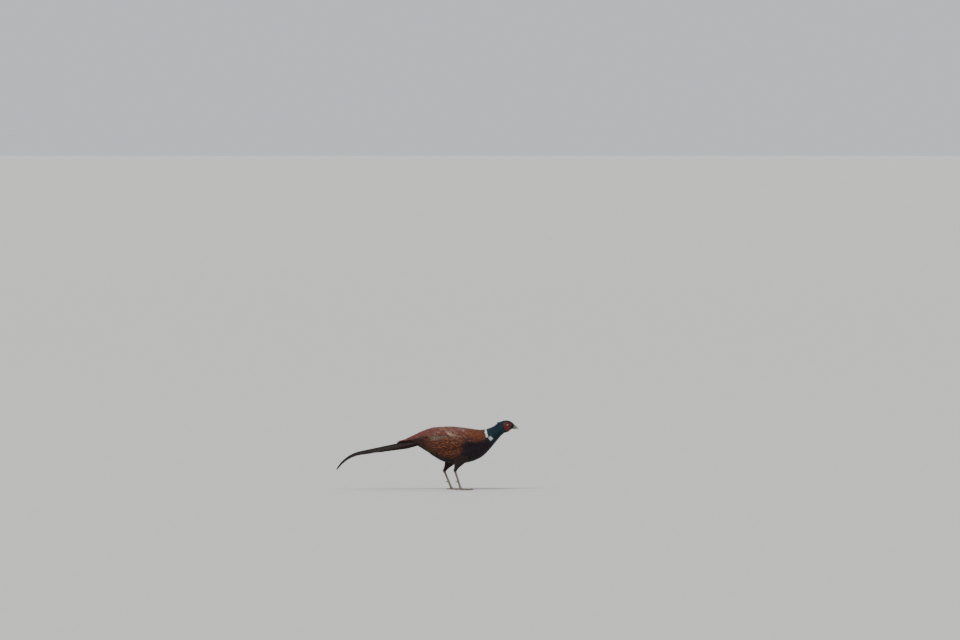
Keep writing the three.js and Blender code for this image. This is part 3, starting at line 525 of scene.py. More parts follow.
class Markings:
    """The bird's colours. A feather is read by how far along (s) and across (q) it a point lies."""

    TEAL = srgb(8, 48, 54)
    # The violet is painted iridescent sheen over the green of the neck, the head and the ear tufts.
    VIOLET_SHEEN = srgb(22, 32, 70)
    CROWN = srgb(30, 40, 42)
    WHITE = srgb(236, 234, 228)
    COPPER = srgb(110, 56, 31)
    GOLD = srgb(136, 78, 42)
    MAUVE = srgb(118, 68, 57)
    PALE = srgb(204, 174, 154)
    MAROON = srgb(70, 29, 26)
    RUMP = srgb(124, 88, 74)
    RUMP_TIP = srgb(90, 38, 40)
    BREAST = srgb(13, 11, 23)
    BREAST_EDGE = srgb(52, 23, 34)
    FLANK = srgb(138, 74, 38)
    INK = srgb(12, 9, 15)
    BELLY = srgb(25, 18, 17)
    # The tail's brown is darkened as painted shade. Its near-black bars and maroon edges are the feather's own pattern,
    # and the bar colour also lays painted shade over whole feathers.
    TAIL = srgb(44, 36, 33)
    TAIL_BAR_AND_SHADE = srgb(13, 12, 13)
    TAIL_EDGE = srgb(66, 42, 42)
    WING = srgb(138, 114, 92)
    WING_DARK = srgb(66, 50, 42)
    GREY = srgb(150, 134, 118)

    @classmethod
    def body(cls, form: BodyForm, place: Array, angle: Array, s: Array, q: Array, chance: Array) -> Array:
        """The colour of body plumage, on the skin and on the coat alike.

        Args:
            place, angle: where on the body. s, q: where on the feather. chance: a number from 0 to 1 a feather.
        """
        place, angle, s, q, chance = np.broadcast_arrays(place, angle, s, q, chance)
        turn = np.degrees(np.abs((angle + np.pi) % (2 * np.pi) - np.pi))
        at = form.point(place, angle)
        x, z = at[..., 0], at[..., 2]
        soft = wobble(x, at[..., 1], z, 0.09)
        edge = np.abs(q)
        tip = smooth(0.74, 0.9, s + 0.12 * edge)
        upper = cls.upper(place, soft, s, edge, chance)
        # Lower side: copper flanks with black wedges, a dark breast and a sooty belly.
        wedge = smooth(0.5, 0.72, s) * (1 - smooth(0.1, 0.5, edge - 0.9 * (s - 0.55)))
        barred = smooth(0.35, 0.45, s) * (1 - smooth(0.52, 0.6, s)) * smooth(0.45, 0.9, chance)
        flank = blend(blend(cls.FLANK, cls.GOLD, chance), cls.COPPER, 0.6 * smooth(0.3, 0.8, edge))
        flank = blend(flank, cls.INK, np.clip(wedge + 0.7 * barred, 0, 0.95))
        breast = blend(cls.BREAST, cls.BREAST_EDGE, 0.55 * tip * (0.4 + 0.6 * chance))
        ahead = x - 152 - 0.45 * (z - 195) + 9 * soft + 14 * (chance - 0.5)
        lower = blend(flank, breast, smooth(-16, 16, ahead))
        lower = blend(blend(cls.BELLY, cls.COPPER, 0.25 * chance), lower, smooth(2.4, 4.2, place))
        lower = blend(lower, cls.BELLY, smooth(128, 150, turn + 6 * soft) * (1 - smooth(8.2, 9.2, place)))
        border = np.interp(place, [0, 4, 5.5, 7, 8, 9, 10, 11], [76, 72, 66, 66, 70, 76, 92, 110])
        colour = blend(upper, lower, smooth(-14, 14, turn - border + 8 * soft + 18 * (chance - 0.5)))
        # Neck and head: bottle green with patches of violet, which are painted iridescent sheen, and the broken white
        # collar.
        sheen = smooth(-0.35, 0.5, wobble(x, at[..., 1], z, 0.06, 2.0) + 0.25 * (chance - 0.5))
        neck = blend(cls.TEAL, cls.VIOLET_SHEEN, 0.5 * sheen)
        neck = blend(neck, cls.CROWN, smooth(14.0, 15.0, place) * (1 - smooth(40, 62, turn)))
        neck = blend(neck, cls.INK, 0.35 * tip)
        ragged = 0.1 * (chance - 0.5)
        start = np.interp(turn, [0, 84, 110, 180], [10.58, 10.16, 10.34, 10.6])
        colour = blend(colour, neck, smooth(-0.08, 0.06, place - start + ragged))
        return blend(colour, cls.WHITE, cls.collar(place + ragged, turn))

    @classmethod
    def upper(cls, place: Array, soft: Array, s: Array, edge: Array, chance: Array) -> Array:
        """The back: a mauve rump, mauve and maroon feathers with thin pale streaks, and a copper mantle."""
        streak = smooth(0.3, 0.45, s) * (1 - smooth(0.86, 0.93, s))
        streak = streak * (1 - smooth(0.07, 0.19, np.abs(edge - 0.5 * (1 - s) - 0.16)))
        back = blend(cls.MAUVE, cls.MAROON, 0.25 + 0.65 * chance)
        back = blend(back, cls.WING_DARK, 0.6 * (1 - smooth(0.2, 0.4, edge)) * (1 - smooth(0.75, 0.9, s)))
        back = blend(back, cls.PALE, 0.6 * streak * smooth(0.3, 0.8, chance))
        back = blend(back, cls.MAUVE, 0.5 * smooth(0.88, 0.97, s))
        mantle = blend(cls.COPPER, cls.GOLD, np.clip(0.35 + 0.4 * soft + 0.5 * (chance - 0.5), 0, 1))
        mantle = blend(mantle, cls.MAROON, 0.6 * smooth(0.4, 0.95, edge) + 0.3 * smooth(0.5, 0.9, 1 - chance))
        mantle = blend(mantle, cls.INK, 0.9 * smooth(0.8, 0.9, s) * (1 - smooth(0.3, 0.6, edge)))
        rump = blend(cls.RUMP, cls.MAUVE, 0.5 + 0.3 * soft)
        rump = blend(rump, cls.RUMP_TIP, 0.8 * smooth(0.45, 0.85, s))
        colour = blend(rump, back, smooth(3.4, 4.8, place + 0.5 * (chance - 0.5)))
        return blend(colour, mantle, smooth(7.2, 9.0, place + 0.9 * (chance - 0.5) + 0.4 * soft))

    @classmethod
    def collar(cls, place: Array, turn: Array) -> Array:
        """How white the collar is: an upright band from the nape to the side, and a short piece ahead of it."""
        band = 1 - smooth(0.11, 0.19, np.abs(place - np.interp(turn, [0, 10, 84], [10.86, 10.83, 10.4])))
        band = band * smooth(3, 10, turn) * (1 - smooth(80, 86, turn))
        off = place - np.interp(turn, [86, 104, 122], [10.66, 10.76, 10.9])
        piece = (1 - smooth(0.17, 0.25, np.abs(off))) * smooth(0.02, 0.06, np.abs(off + 0.02))
        return np.maximum(band, piece * smooth(87, 91, turn) * (1 - smooth(113, 121, turn)))

    @classmethod
    def wing(cls, tier: str, s: Array, q: Array, along: Array, chance: Array, x: Array) -> Array:
        """The colour of a wing feather: each tier has its own pattern.

        Args:
            tier: the tier's name. s, q: where on the feather. along: the same in millimetres. chance: as above.
            x: where it lies along the bird.
        """
        s, q, along, chance, x = np.broadcast_arrays(s, q, along, chance, x)
        edge = np.abs(q)
        ripple = np.sin(along * 0.55 + 1.2 * np.sin(3.0 * q + 6.0 * chance) + 9.0 * chance)
        if tier in ("primaries", "secondaries"):
            bars = smooth(0.1, 0.7, ripple) * smooth(0.12, 0.35, edge)
            colour = blend(cls.WING_DARK, cls.WING, 0.75 * bars)
            colour = blend(colour, cls.PALE, 0.4 * smooth(0.8, 1.0, edge) * (0.5 + 0.5 * chance))
            return blend(colour, cls.MAUVE, 0.45 * smooth(0.5, 1.0, chance))
        if tier == "greater":
            colour = blend(cls.GREY, cls.WING, 0.35 + 0.4 * chance)
            colour = blend(colour, cls.MAUVE, 0.6 * smooth(0.7, 0.95, edge + 0.3 * s))
            return blend(colour, cls.WING_DARK, 0.45 * smooth(0.3, 0.8, ripple) * smooth(0.5, 0.1, edge))
        colour = blend(cls.MAUVE, cls.COPPER, 0.4 + 0.5 * chance)
        colour = blend(colour, cls.GREY, 0.4 * smooth(150, 115, x))
        colour = blend(colour, cls.PALE, 0.3 * (1 - smooth(0.06, 0.16, edge)) * smooth(0.3, 0.5, s))
        return blend(colour, cls.MAROON, 0.6 * smooth(0.74, 0.98, s + 0.15 * edge))

    @classmethod
    def tail(cls, s: Array, q: Array, along: Array, chance: Array) -> Array:
        """The colour of a tail feather: dark brown with darker bars every 15 mm and dull maroon frayed edges, all
        darkened to near black as painted shade, more towards the tip.
        """
        s, q, along, chance = np.broadcast_arrays(s, q, along, chance)
        edge = np.abs(q)
        wave = np.sin(along * 2.0 * np.pi / 15.0 + 0.9 * edge + 6.0 * chance)
        colour = blend(cls.TAIL, cls.TAIL_BAR_AND_SHADE, smooth(-0.1, 0.6, wave) * (1 - 0.4 * smooth(0.6, 0.95, edge)))
        colour = blend(colour, cls.TAIL_EDGE, 0.6 * smooth(0.6, 0.95, edge) * (1 - 0.8 * smooth(0.5, 0.9, s)))
        # Painted shade: the bar colour laid over the whole feather, more towards the tip.
        colour = blend(colour, cls.TAIL_BAR_AND_SHADE, 0.2 + 0.5 * smooth(0.5, 0.95, s))
        return blend(colour, cls.WING_DARK, 0.8 * (1 - smooth(0.03, 0.12, edge)) * (1 - 0.5 * s))


# How the coat changes along the body. place: millimetres between rows and across them, length, half width.
COAT_STEPS = np.array([
    (-0.6, 9, 8, 44, 5.5), (1.0, 9, 8, 44, 6.5), (2.5, 8.5, 8.5, 38, 7.5), (4.0, 8, 8.5, 31, 8), (6.5, 7.5, 8.5, 27, 8),
    (8.5, 6.5, 7.8, 23, 7.2), (10.0, 5.0, 6.0, 17, 5.4), (11.2, 3.6, 4.5, 12.5, 3.9), (13.0, 2.7, 3.2, 8.5, 2.7),
    (14.5, 2.1, 2.5, 6.2, 2.0), (16.5, 1.7, 2.0, 4.6, 1.5), (18.0, 1.4, 1.6, 3.4, 1.1),
], float)


@dataclass
class Bird:
    """What every part of the bird needs: the body's form, the shift to the frame and a seeded random source."""

    form: BodyForm
    shift: Array
    random: np.random.Generator

    def bake(self, place: Array, angle: Array) -> Array:
        """The skin's unwrap: u runs along the body from tail to bill, v once round it from the belly."""
        u = 0.02 + 0.72 * (np.asarray(place) + 2.0) / (LAST + 2.0)
        v = 0.03 + 0.94 * (((np.asarray(angle) + np.pi) % (2 * np.pi)) / (2 * np.pi))
        return np.stack(np.broadcast_arrays(u, v), axis=-1)


def wattle_reach(angle: Array) -> Array:
    """The distance from the eye to the edge of the red skin, at angles in radians: a smooth curve through WATTLE."""
    degrees = np.degrees(angle) % 360.0
    place = np.interp(degrees, WATTLE[:, 0], np.arange(len(WATTLE)))
    return Spline(WATTLE[:, 1:]).at(place)[..., 0]


def in_wattle(x: Array, z: Array, margin: float) -> Array:
    """Whether x, z lies on the red skin, drawn in by margin."""
    dx, dz = x - EYE_X, z - EYE_Z
    return np.hypot(dx, dz) < wattle_reach(np.arctan2(dz, dx)) - margin


# The folded wing under the coat, seen from the side. x: place. low, high: its edges. thick: how far it stands out.
WING_RISE = np.array([
    (-45, 188, 212, 0), (-20, 184, 220, 3), (20, 182, 227, 6), (60, 186, 233, 8), (110, 194, 236, 10),
    (150, 200, 237, 10.8), (185, 204, 236, 8.8), (212, 209, 233, 4.6), (244, 213, 228, 0),
], float)
# The part of the wing that no body feather covers. x: place. low, high: its edges.
OPEN_WING = np.array([
    (-4, 208, 216), (18, 203, 221), (48, 199, 225), (94, 210, 228), (134, 214, 229), (168, 220, 226),
], float)


def wing_rise(x: Array, z: Array) -> Array:
    """How far the wing holds the coat out at x, z: its thickness, fading smoothly beyond each edge."""
    low, high, thick = (np.interp(x, WING_RISE[:, 0], WING_RISE[:, k]) for k in (1, 2, 3))
    return thick * smooth(low - 28, low - 7, z) * (1 - smooth(high - 2, high + 14, z))


def in_open_wing(x: Array, z: Array) -> Array:
    """Whether x, z lies where the folded wing shows."""
    low, high = (np.interp(x, OPEN_WING[:, 0], OPEN_WING[:, k]) for k in (1, 2))
    return (x > OPEN_WING[0, 0]) & (x < OPEN_WING[-1, 0]) & (z > low) & (z < high)


class Skin:
    """One closed skin from the tail to the bill, with the thighs, under the whole coat."""

    def __init__(self, bird: Bird, legs: list) -> None:
        """Builds the body's sleeve and one sleeve a thigh, all a coat's depth inside the solids."""
        piece = Piece("skin", SKIN, Slot.PLUMAGE)
        places = np.linspace(0.0, LAST, 260)[:, None]
        depth = np.interp(places, [0, 2, 10, 13, 16, 17, 18], [1.5, 2.6, COAT_DEPTH, 2.0, 1.0, 0.6, 3.2])
        # The skin shows only in gaps between the feathers, so its colour is the plumage's darkened by 0.8: painted
        # shade.
        colour = Markings.body(bird.form, places, circle(96), 0.55, 0.4, 0.5) * 0.8
        piece.add_tube(bird.form.point(places, circle(96), -depth), colour)
        for leg in legs:
            piece.add_tube(leg.thigh.point(np.linspace(0.0, leg.thigh.last, 40)[:, None], circle(40), -2.0),
                           Markings.BELLY)
        piece.make(bird.shift, ("torso", "neck", "head", "thigh_right", "thigh_left"))


class Coat:
    """The small feathers of head, neck, breast, back, flanks, belly and rump."""

    def __init__(self, bird: Bird) -> None:
        """Lays all rows, then makes one piece for each stretch of the body."""
        self.bird = bird
        place, angle = self.roots()
        for name, low, high, grid, finish, slot in (
            ("coat_head", 13.4, 18.1, (6, 5), FEATHER_SHINY, Slot.NECK),
            ("coat_neck", 10.3, 13.4, (7, 5), FEATHER_SHINY, Slot.NECK),
            ("coat_breast", 7.6, 10.3, (8, 7), FEATHER, Slot.PLUMAGE),
            ("coat_middle", 4.0, 7.6, (8, 7), FEATHER, Slot.PLUMAGE),
            ("coat_rump", -1.0, 4.0, (9, 7), FEATHER, Slot.PLUMAGE),
        ):
            chosen = (place >= low) & (place < high)
            self.lay(name, place[chosen], angle[chosen], grid, finish, slot)

    def roots(self) -> tuple[Array, Array]:
        """Where feathers are rooted: rows round the body, each half a step on from the one before."""
        places, angles = [], []
        at, row = 17.97, 0
        random = self.bird.random
        while at > 0.25:
            rows, across = (np.interp(at, COAT_STEPS[:, 0], COAT_STEPS[:, k]) for k in (1, 2))
            _, _, high, wide, _, _ = self.bird.form.section(np.array(at))
            girth = np.pi * (3 * (high + wide) - np.sqrt((3 * high + wide) * (high + 3 * wide)))
            count = max(int(girth / across), 6)
            angle = (np.arange(count) + 0.5 * (row % 2)) / count * 2 * np.pi - np.pi
            angles.append(angle + (random.random(count) - 0.5) * 2.2 / count)
            ahead, behind = (self.bird.form.point(np.array(at + d), np.pi / 2) for d in (0.2, -0.2))
            speed = np.linalg.norm(ahead - behind) / 0.4
            places.append(at + (random.random(count) - 0.5) * 0.35 * rows / speed)
            at -= float(rows / speed)
            row += 1
        place, angle = np.concatenate(places), np.concatenate(angles)
        root = self.bird.form.point(place, angle)
        length = np.interp(place, COAT_STEPS[:, 0], COAT_STEPS[:, 3])
        behind = root[:, 0] - 0.75 * length, root[:, 2] - 0.1 * length
        side = np.abs(np.sin(angle)) > 0.35
        bare = side & (in_wattle(root[:, 0], root[:, 2], 1.0) | ((place > 13.5) & in_wattle(*behind, 1.6)))
        bare |= side & in_open_wing(root[:, 0], root[:, 2])
        return place[~bare], angle[~bare]

    def lay(self, name: str, place: Array, angle: Array, grid: tuple[int, int], finish: Finish, slot: Slot) -> None:
        """Makes the feathers of one stretch, each laid back over the form: low at its root and high at its tip."""
        random, form = self.bird.random, self.bird.form
        vanes = Vanes(*grid)
        count = len(place)
        length = np.interp(place, COAT_STEPS[:, 0], COAT_STEPS[:, 3]) * (0.85 + 0.3 * random.random(count))
        half = np.interp(place, COAT_STEPS[:, 0], COAT_STEPS[:, 4]) * (0.9 + 0.25 * random.random(count))
        turn = np.degrees(np.abs((angle + np.pi) % (2 * np.pi) - np.pi))
        middle = smooth(3.5, 5, place) * (1 - smooth(8, 9, place))
        flank = smooth(60, 95, turn) * (1 - smooth(140, 165, turn)) * middle
        scapular = smooth(18, 34, turn) * (1 - smooth(56, 72, turn)) * middle
        length = length * (1 + 0.25 * flank + 0.4 * scapular)
        half = half * (1 + 0.15 * scapular)
        along_speed, round_speed = form.speeds(place, angle)
        s, q = vanes.s, vanes.q
        chance = random.random(count)[:, None, None]
        width = vanes.width(half, 3.2)
        level = q * width / half[:, None, None]
        notch = 0.05 * np.sin(7 * q + 40 * chance) * s**3 * np.abs(level)
        reach = s * (1 - 0.16 * level**2) + notch
        skew = (random.random(count)[:, None, None] - 0.5) * 0.14 * s**1.5 * length[:, None, None]
        down = 0.1 * np.sin(angle)[:, None, None] * s * length[:, None, None] * smooth(13, 11, place)[:, None, None]
        across = q * width
        at = place[:, None, None] - reach * (length / along_speed)[:, None, None]
        round_ = angle[:, None, None] + (across + skew + down) / round_speed[:, None, None]
        scale = np.interp(place, [-1, 2, 8, 11, 14, 18], [1.25, 1.2, 1.0, 0.75, 0.5, 0.3])[:, None, None]
        lift = scale * (-2.6 + 4.6 * s**0.8 + 0.5 * (chance - 0.5) + 0.35 * level * np.sin(9 * chance))
        base = form.point(at, round_)
        lift = lift - scale * 0.7 * level**2 + wing_rise(base[..., 0], base[..., 2])
        points = form.point(at, round_, lift)
        normals = unit(form.point(at, round_, lift + 1.0) - points)
        colours = Markings.body(form, at, round_, s, q, chance)
        colours = colours * (0.86 + 0.28 * random.random(count))[:, None, None, None]
        piece = Piece(name, finish, slot)
        vanes.fill(piece, points, normals, 0.35 * float(np.mean(scale)), colours, across,
                   s * length[:, None, None], self.bird.bake(place, angle))
        piece.make(self.bird.shift)


@dataclass(frozen=True)
class Tier:
    """One tier of wing feathers, from the lowest to the highest: roots and tips as x, z seen from the side."""

    name: str
    count: int
    root: tuple
    tip: tuple
    half: float
    lift: float
    lean: float
    grid: tuple[int, int] = (14, 7)


WING_TIERS = (
    Tier("primaries", 6, ((166, 200), (150, 208)), ((10, 177), (-28, 196)), 7.5, 2.4, 0.85, (26, 9)),
    Tier("secondaries", 12, ((170, 203), (130, 234)), ((40, 184), (-6, 222)), 9.5, 6.0, 0.7, (26, 9)),
    Tier("greater", 13, ((188, 206), (148, 238)), ((118, 194), (76, 231)), 6.5, 9.4, 0.55, (18, 9)),
    Tier("median", 12, ((194, 208), (160, 237)), ((152, 199), (114, 235)), 6.0, 9.9, 0.45, (16, 9)),
    Tier("median", 10, ((202, 211), (174, 235)), ((170, 203), (138, 235)), 5.6, 9.0, 0.4, (16, 9)),
)


class Wing:
    """One folded wing: its tiers of feathers, which the coat hides but for a patch on the side."""

    CELLS = 9  # patches of the OFBake map each way, one to a feather
    PATCH = (0.05, 0.05)

    def __init__(self, bird: Bird, side: int, node: str) -> None:
        """Lays every tier over the body's side. side is -1 on the bird's right and 1 on its left."""
        self.bird, self.side = bird, side
        self.placed = 0
        self.piece = Piece(node + "_feathers", FEATHER_WING, Slot.WING)
        for tier in WING_TIERS:
            self.lay(tier)
        self.piece.make(bird.shift, (node,))

    def patches(self, count: int) -> Array:
        """The middles of the next patches of the OFBake map: cells of a square grid, row after row."""
        cell = self.placed + np.arange(count)
        self.placed += count
        return (np.stack([cell % self.CELLS, cell // self.CELLS], axis=-1) + 0.5) / self.CELLS

    def lay(self, tier: Tier) -> None:
        """Makes one tier. Each feather leans, so that its lower edge lies over the upper edge of the next."""
        random = self.bird.random
        f = np.linspace(0.0, 1.0, tier.count)[:, None]
        root = np.array(tier.root[0]) * (1 - f) + np.array(tier.root[1]) * f
        tip = np.array(tier.tip[0]) * (1 - f) + np.array(tier.tip[1]) * f
        tip = tip + (random.random((tier.count, 2)) - 0.5) * (4.0, 1.2)
        spacing = np.linalg.norm(root[-1] - root[0]) / (tier.count - 1)
        ahead = tip - root
        length = np.linalg.norm(ahead, axis=1)
        up = unit(np.stack([ahead[:, 1], -ahead[:, 0]], axis=1))
        vanes = Vanes(*tier.grid)
        s, q = vanes.s, vanes.q
        chance = random.random(tier.count)[:, None, None]
        width = vanes.width(np.full(tier.count, tier.half), 6.0 if length[0] > 60 else 3.6, 0.6)
        across = q * width
        reach = s * (1 - 0.05 * (across / tier.half) ** 2 * s**4)
        along = s * length[:, None, None]
        x = root[:, 0, None, None] + ahead[:, 0, None, None] * reach + up[:, 0, None, None] * across
        z = root[:, 1, None, None] + ahead[:, 1, None, None] * reach + up[:, 1, None, None] * across
        lift = tier.lift - tier.lean / spacing * across - 1.4 * (1 - s) ** 4 + 0.15 * (1 - q**2)
        lift = np.minimum(lift, wing_rise(x, z) + 0.05 * tier.lift - 3.0 * smooth(170, 190, x))
        points, normals = self.bird.form.drape(x, z, self.side, lift)
        colours = Markings.wing(tier.name, s, q, along, chance, x)
        colours = colours * (0.88 + 0.24 * random.random(tier.count))[:, None, None, None]
        vanes.fill(self.piece, points, normals, 0.45, colours, across, along, self.patches(tier.count), self.PATCH)


class Tail:
    """The long tail: a roof of nine pairs of feathers on one curved line, the middle pair on top."""

    ROOT = (6.0, 217.5)
    DROP = math.radians(12)
    STRAIGHT, RADIUS, TURN = 288.0, 146.0, math.radians(51)
    PAIRS, ROLL, STEP = 9, math.radians(30), 1.4

    def __init__(self, bird: Bird) -> None:
        """Makes both feathers of every pair."""
        self.bird = bird
        piece = Piece("tail_feathers", FEATHER_TAIL, Slot.TAIL)
        for side in (-1, 1):
            for pair in range(self.PAIRS):
                self.feather(piece, pair, side)
        piece.make(bird.shift, ("tail", "tail_tip"))

    def line(self, distance: Array) -> tuple[Array, Array]:
        """The tail's middle line and its upward normal: straight, then an arc that turns down."""
        straight = np.minimum(distance, self.STRAIGHT)
        bent = self.DROP + np.maximum(0.0, distance - self.STRAIGHT) / self.RADIUS
        x = self.ROOT[0] - straight * math.cos(self.DROP) - self.RADIUS * (np.sin(bent) - math.sin(self.DROP))
        z = self.ROOT[1] - straight * math.sin(self.DROP) - self.RADIUS * (math.cos(self.DROP) - np.cos(bent))
        zero = np.zeros_like(x)
        return np.stack([x, zero, z], axis=-1), np.stack([-np.sin(bent), zero, np.cos(bent)], axis=-1)

    def feather(self, piece: Piece, pair: int, side: int) -> None:
        """One feather: its vane slopes out like half a roof, one step below the pair before it."""
        f = pair / (self.PAIRS - 1)
        whole = self.STRAIGHT + self.RADIUS * self.TURN
        length = whole * (1.0 if pair == 0 else 0.96 + (0.33 - 0.96) * f**0.72)
        half = 16.0 + (11.5 - 16.0) * f
        vanes = Vanes(90 if pair < 3 else 44, 13)
        s, q = vanes.s, vanes.q
        line, up = self.line(s * length + 0 * q)
        if pair < 3:
            taper = np.clip((1.05 - s) / 0.45, 0, 1) ** 0.75 * (1 - 0.75 * smooth(0.975, 1.0, s))
        else:
            taper = np.clip((1.02 - s) / 0.3, 0, 1) ** 0.6
        width = np.maximum(half * np.clip(0.5 + 2.5 * s, 0, 1) * taper, 0.6)
        chance = self.bird.random.random()
        fray = 1.0 + 0.05 * np.sin(s * length / 2.1 + 7 * chance) * np.sin(s * length / 5.3 + 3 * chance)
        across = q * width * np.where(np.abs(q) > 0.95, fray, 1.0)
        inner = np.maximum(width + 0.35 + 1.4 * pair * smooth(0, 120, s * length) + across, 0.3)
        on_top = (pair == 0 and side > 0) * np.minimum(1.0, width / 5)
        inner = inner - 2.2 * on_top
        above = (0.7 * on_top - pair * self.STEP)[..., None]
        y = np.zeros_like(up)
        y[..., 1] = side
        slope = y * math.cos(self.ROLL) - up * math.sin(self.ROLL)
        normal = y * math.sin(self.ROLL) + up * math.cos(self.ROLL)
        curve = 0.8 * (1 - q**2) * np.minimum(1, width / 8)
        points = line + slope * inner[..., None] + up * above + normal * curve[..., None]
        colours = Markings.tail(s, q, s * length + 0 * q, chance)
        strip = (pair + (self.PAIRS if side > 0 else 0) + 0.5) / (2 * self.PAIRS)
        vanes.fill(piece, points, normal, 0.6, colours, q * width, s * length, np.array([[strip, 0.5]]), (0.022, 0.48))


class Face:
    """The head's own pieces: red skin, eyes with lids, bill and ear tufts."""

    def __init__(self, bird: Bird) -> None:
        """Makes each piece, right side then left."""
        self.bird = bird
        for side, word in ((-1, "right"), (1, "left")):
            self.eye(side, word)
            self.wattle(side, word)
            self.tuft(side, word)
        self.upper_bill()
        self.lower_bill()

    def eye(self, side: int, word: str) -> None:
        """The eyeball: a sphere coloured by its distance from the axis, with pupil, iris and dark rim."""
        centre, axis = self.bird.form.drape(np.array(EYE_X), np.array(EYE_Z), side, np.array(EYE_OUT - EYE_RADIUS))
        across = unit(np.cross(axis, (0.0, 0.0, 1.0)))
        up = np.cross(across, axis)
        polar = np.linspace(0.02, np.pi - 0.02, 40)[:, None]
        around = circle(56)
        swell = EYE_RADIUS * (1 + 0.05 * np.exp(-((polar / 0.5) ** 2)))
        points = centre + (axis * np.cos(polar)[..., None] + (across * np.cos(around)[..., None]
                           + up * np.sin(around)[..., None]) * np.sin(polar)[..., None]) * swell[..., None]
        radius = (EYE_RADIUS * np.sin(polar) + 0 * around) + 99 * (polar > 1.6)
        iris = blend(srgb(188, 148, 72), srgb(112, 72, 34), smooth(2.2, 4.0, radius) * 0.6
                     + 0.25 * np.sin(around * 23 + 3 * np.sin(around * 7)))
        colour = blend(srgb(5, 4, 5), iris, smooth(2.0, 2.25, radius))
        colour = blend(colour, srgb(40, 18, 14), smooth(3.6, 4.0, radius))
        piece = Piece(f"eyeball_{word}", EYEBALL, Slot.EYE)
        piece.add_tube(points, colour)
        piece.make(self.bird.shift, (f"eye_{word}",))

    def wattle(self, side: int, word: str) -> None:
        """The red skin: rings round the eye out to the edge, with lids, folds and rows of small warts."""
        outside, under, sides = 64, 6, 192
        around = circle(sides)
        f = np.append(np.linspace(0.0, 1.0, outside), np.linspace(0.96, 0.0, under))[:, None]
        below = (np.arange(outside + under) >= outside)[:, None]
        reach = wattle_reach(around)
        start = EYE_RADIUS - 1.1
        radius = start + (reach - start) * f
        x, z = EYE_X + radius * np.cos(around), EYE_Z + radius * np.sin(around)
        low = np.maximum(0.0, -np.sin(around)) ** 3
        lift = np.interp(f, [0, 0.05, 0.12, 0.22, 0.45, 0.72, 0.92, 1.0], [0.2, 1.9, 1.9, 0.9, 1.7, 1.6, 1.1, -0.9])
        cheek = np.interp(f, [0, 0.3, 0.75, 0.95, 1.0], [0, 0.6, 1.6, 1.1, 0.0]) * low
        folds = 0.28 * np.sin(radius * 1.1 + 0.8 * np.sin(3 * around)) * smooth(0.2, 0.35, f)
        warts = np.abs(np.sin(x * 2.9 + 1.2 * np.sin(z * 1.3)) * np.sin(z * 2.9 + 1.2 * np.sin(x * 1.3 + 1)))
        warts = warts**0.6 * smooth(0.16, 0.3, f) * (1 - 0.6 * smooth(0.92, 1.0, f))
        lift = np.where(below, -1.7, lift + cheek + folds + 0.6 * warts)
        points, _ = self.bird.form.drape(x, z, side, lift)
        # The red is darkest where the warts are low and brightest on their tops and on the swollen cheek: painted shade
        # and light that follow the relief.
        colour = blend(srgb(40, 2, 7), srgb(106, 7, 16), smooth(0.15, 0.9, warts + 0.2 * cheek))
        dots = smooth(0.72, 0.9, np.sin(radius * 3.1) * np.sin(around * 9)) * smooth(0.25, 0.4, f)
        colour = blend(colour, srgb(20, 8, 14), 0.45 * dots)
        colour = blend(srgb(58, 18, 20), colour, smooth(0.03, 0.14, f + 0 * around))
        vertices = points.reshape(-1, 3)
        faces = turned_out(vertices, grid_faces(outside + under, sides, closed=True, looped=True))
        piece = Piece(f"wattle_skin_{word}", WATTLE_SKIN, Slot.WATTLE)
        piece.add(vertices, faces, colour.reshape(-1, 3))
        piece.make(self.bird.shift, (f"wattle_{word}",))

    def tuft(self, side: int, word: str) -> None:
        """The ear tuft: narrow pointed feathers in a fan that rises behind the crown."""
        random = self.bird.random
        count = 70
        vanes = Vanes(9, 5)
        s, q = vanes.s, vanes.q
        k = random.random(count)
        root = np.stack([306 - 11 * random.random(count), side * (6.6 + 6.4 * k), 277.2 - 9 * k + random.random(count)],
                        axis=-1)
        way = unit(np.stack([-np.ones(count), side * (0.04 + 0.26 * k), 0.03 - 0.4 * k], axis=-1))
        length = (root[:, 0] - 285 + 2.5 * random.random(count)) * (1 - 0.3 * k)
        normal = unit(np.stack([0.25 * np.ones(count), side * (0.2 + 0.8 * k), 1.0 - 0.55 * k], axis=-1))
        across_way = unit(np.cross(normal, way))
        normal = unit(np.cross(way, across_way))
        width = 2.1 * np.maximum((1 - s) ** 0.6, 0.06) * np.minimum(1.0, 0.5 + 3 * s)
        across = q * width + np.zeros((count, 1, 1))
        points = root[:, None, None, :] + way[:, None, None, :] * (s * length[:, None, None])[..., None]
        points = points + across_way[:, None, None, :] * across[..., None]
        points[..., 2] += 0.8 * s**2
        normals = np.broadcast_to(normal[:, None, None, :], points.shape)
        # The violet mixed in, more on some feathers and towards the tips, is painted iridescent sheen.
        colours = blend(Markings.TEAL, Markings.VIOLET_SHEEN, 0.6 * k[:, None, None] + 0.2 * s + 0 * q)
        bake = self.bird.bake(np.full(count, 14.0) + 0.3 * k, side * (0.5 + 0.4 * k))
        piece = Piece(f"ear_tuft_{word}_feathers", FEATHER_SHINY, Slot.NECK)
        vanes.fill(piece, points, normals, 0.25, colours, across, s * length[:, None, None], bake)
        piece.make(self.bird.shift, (f"ear_tuft_{word}",))

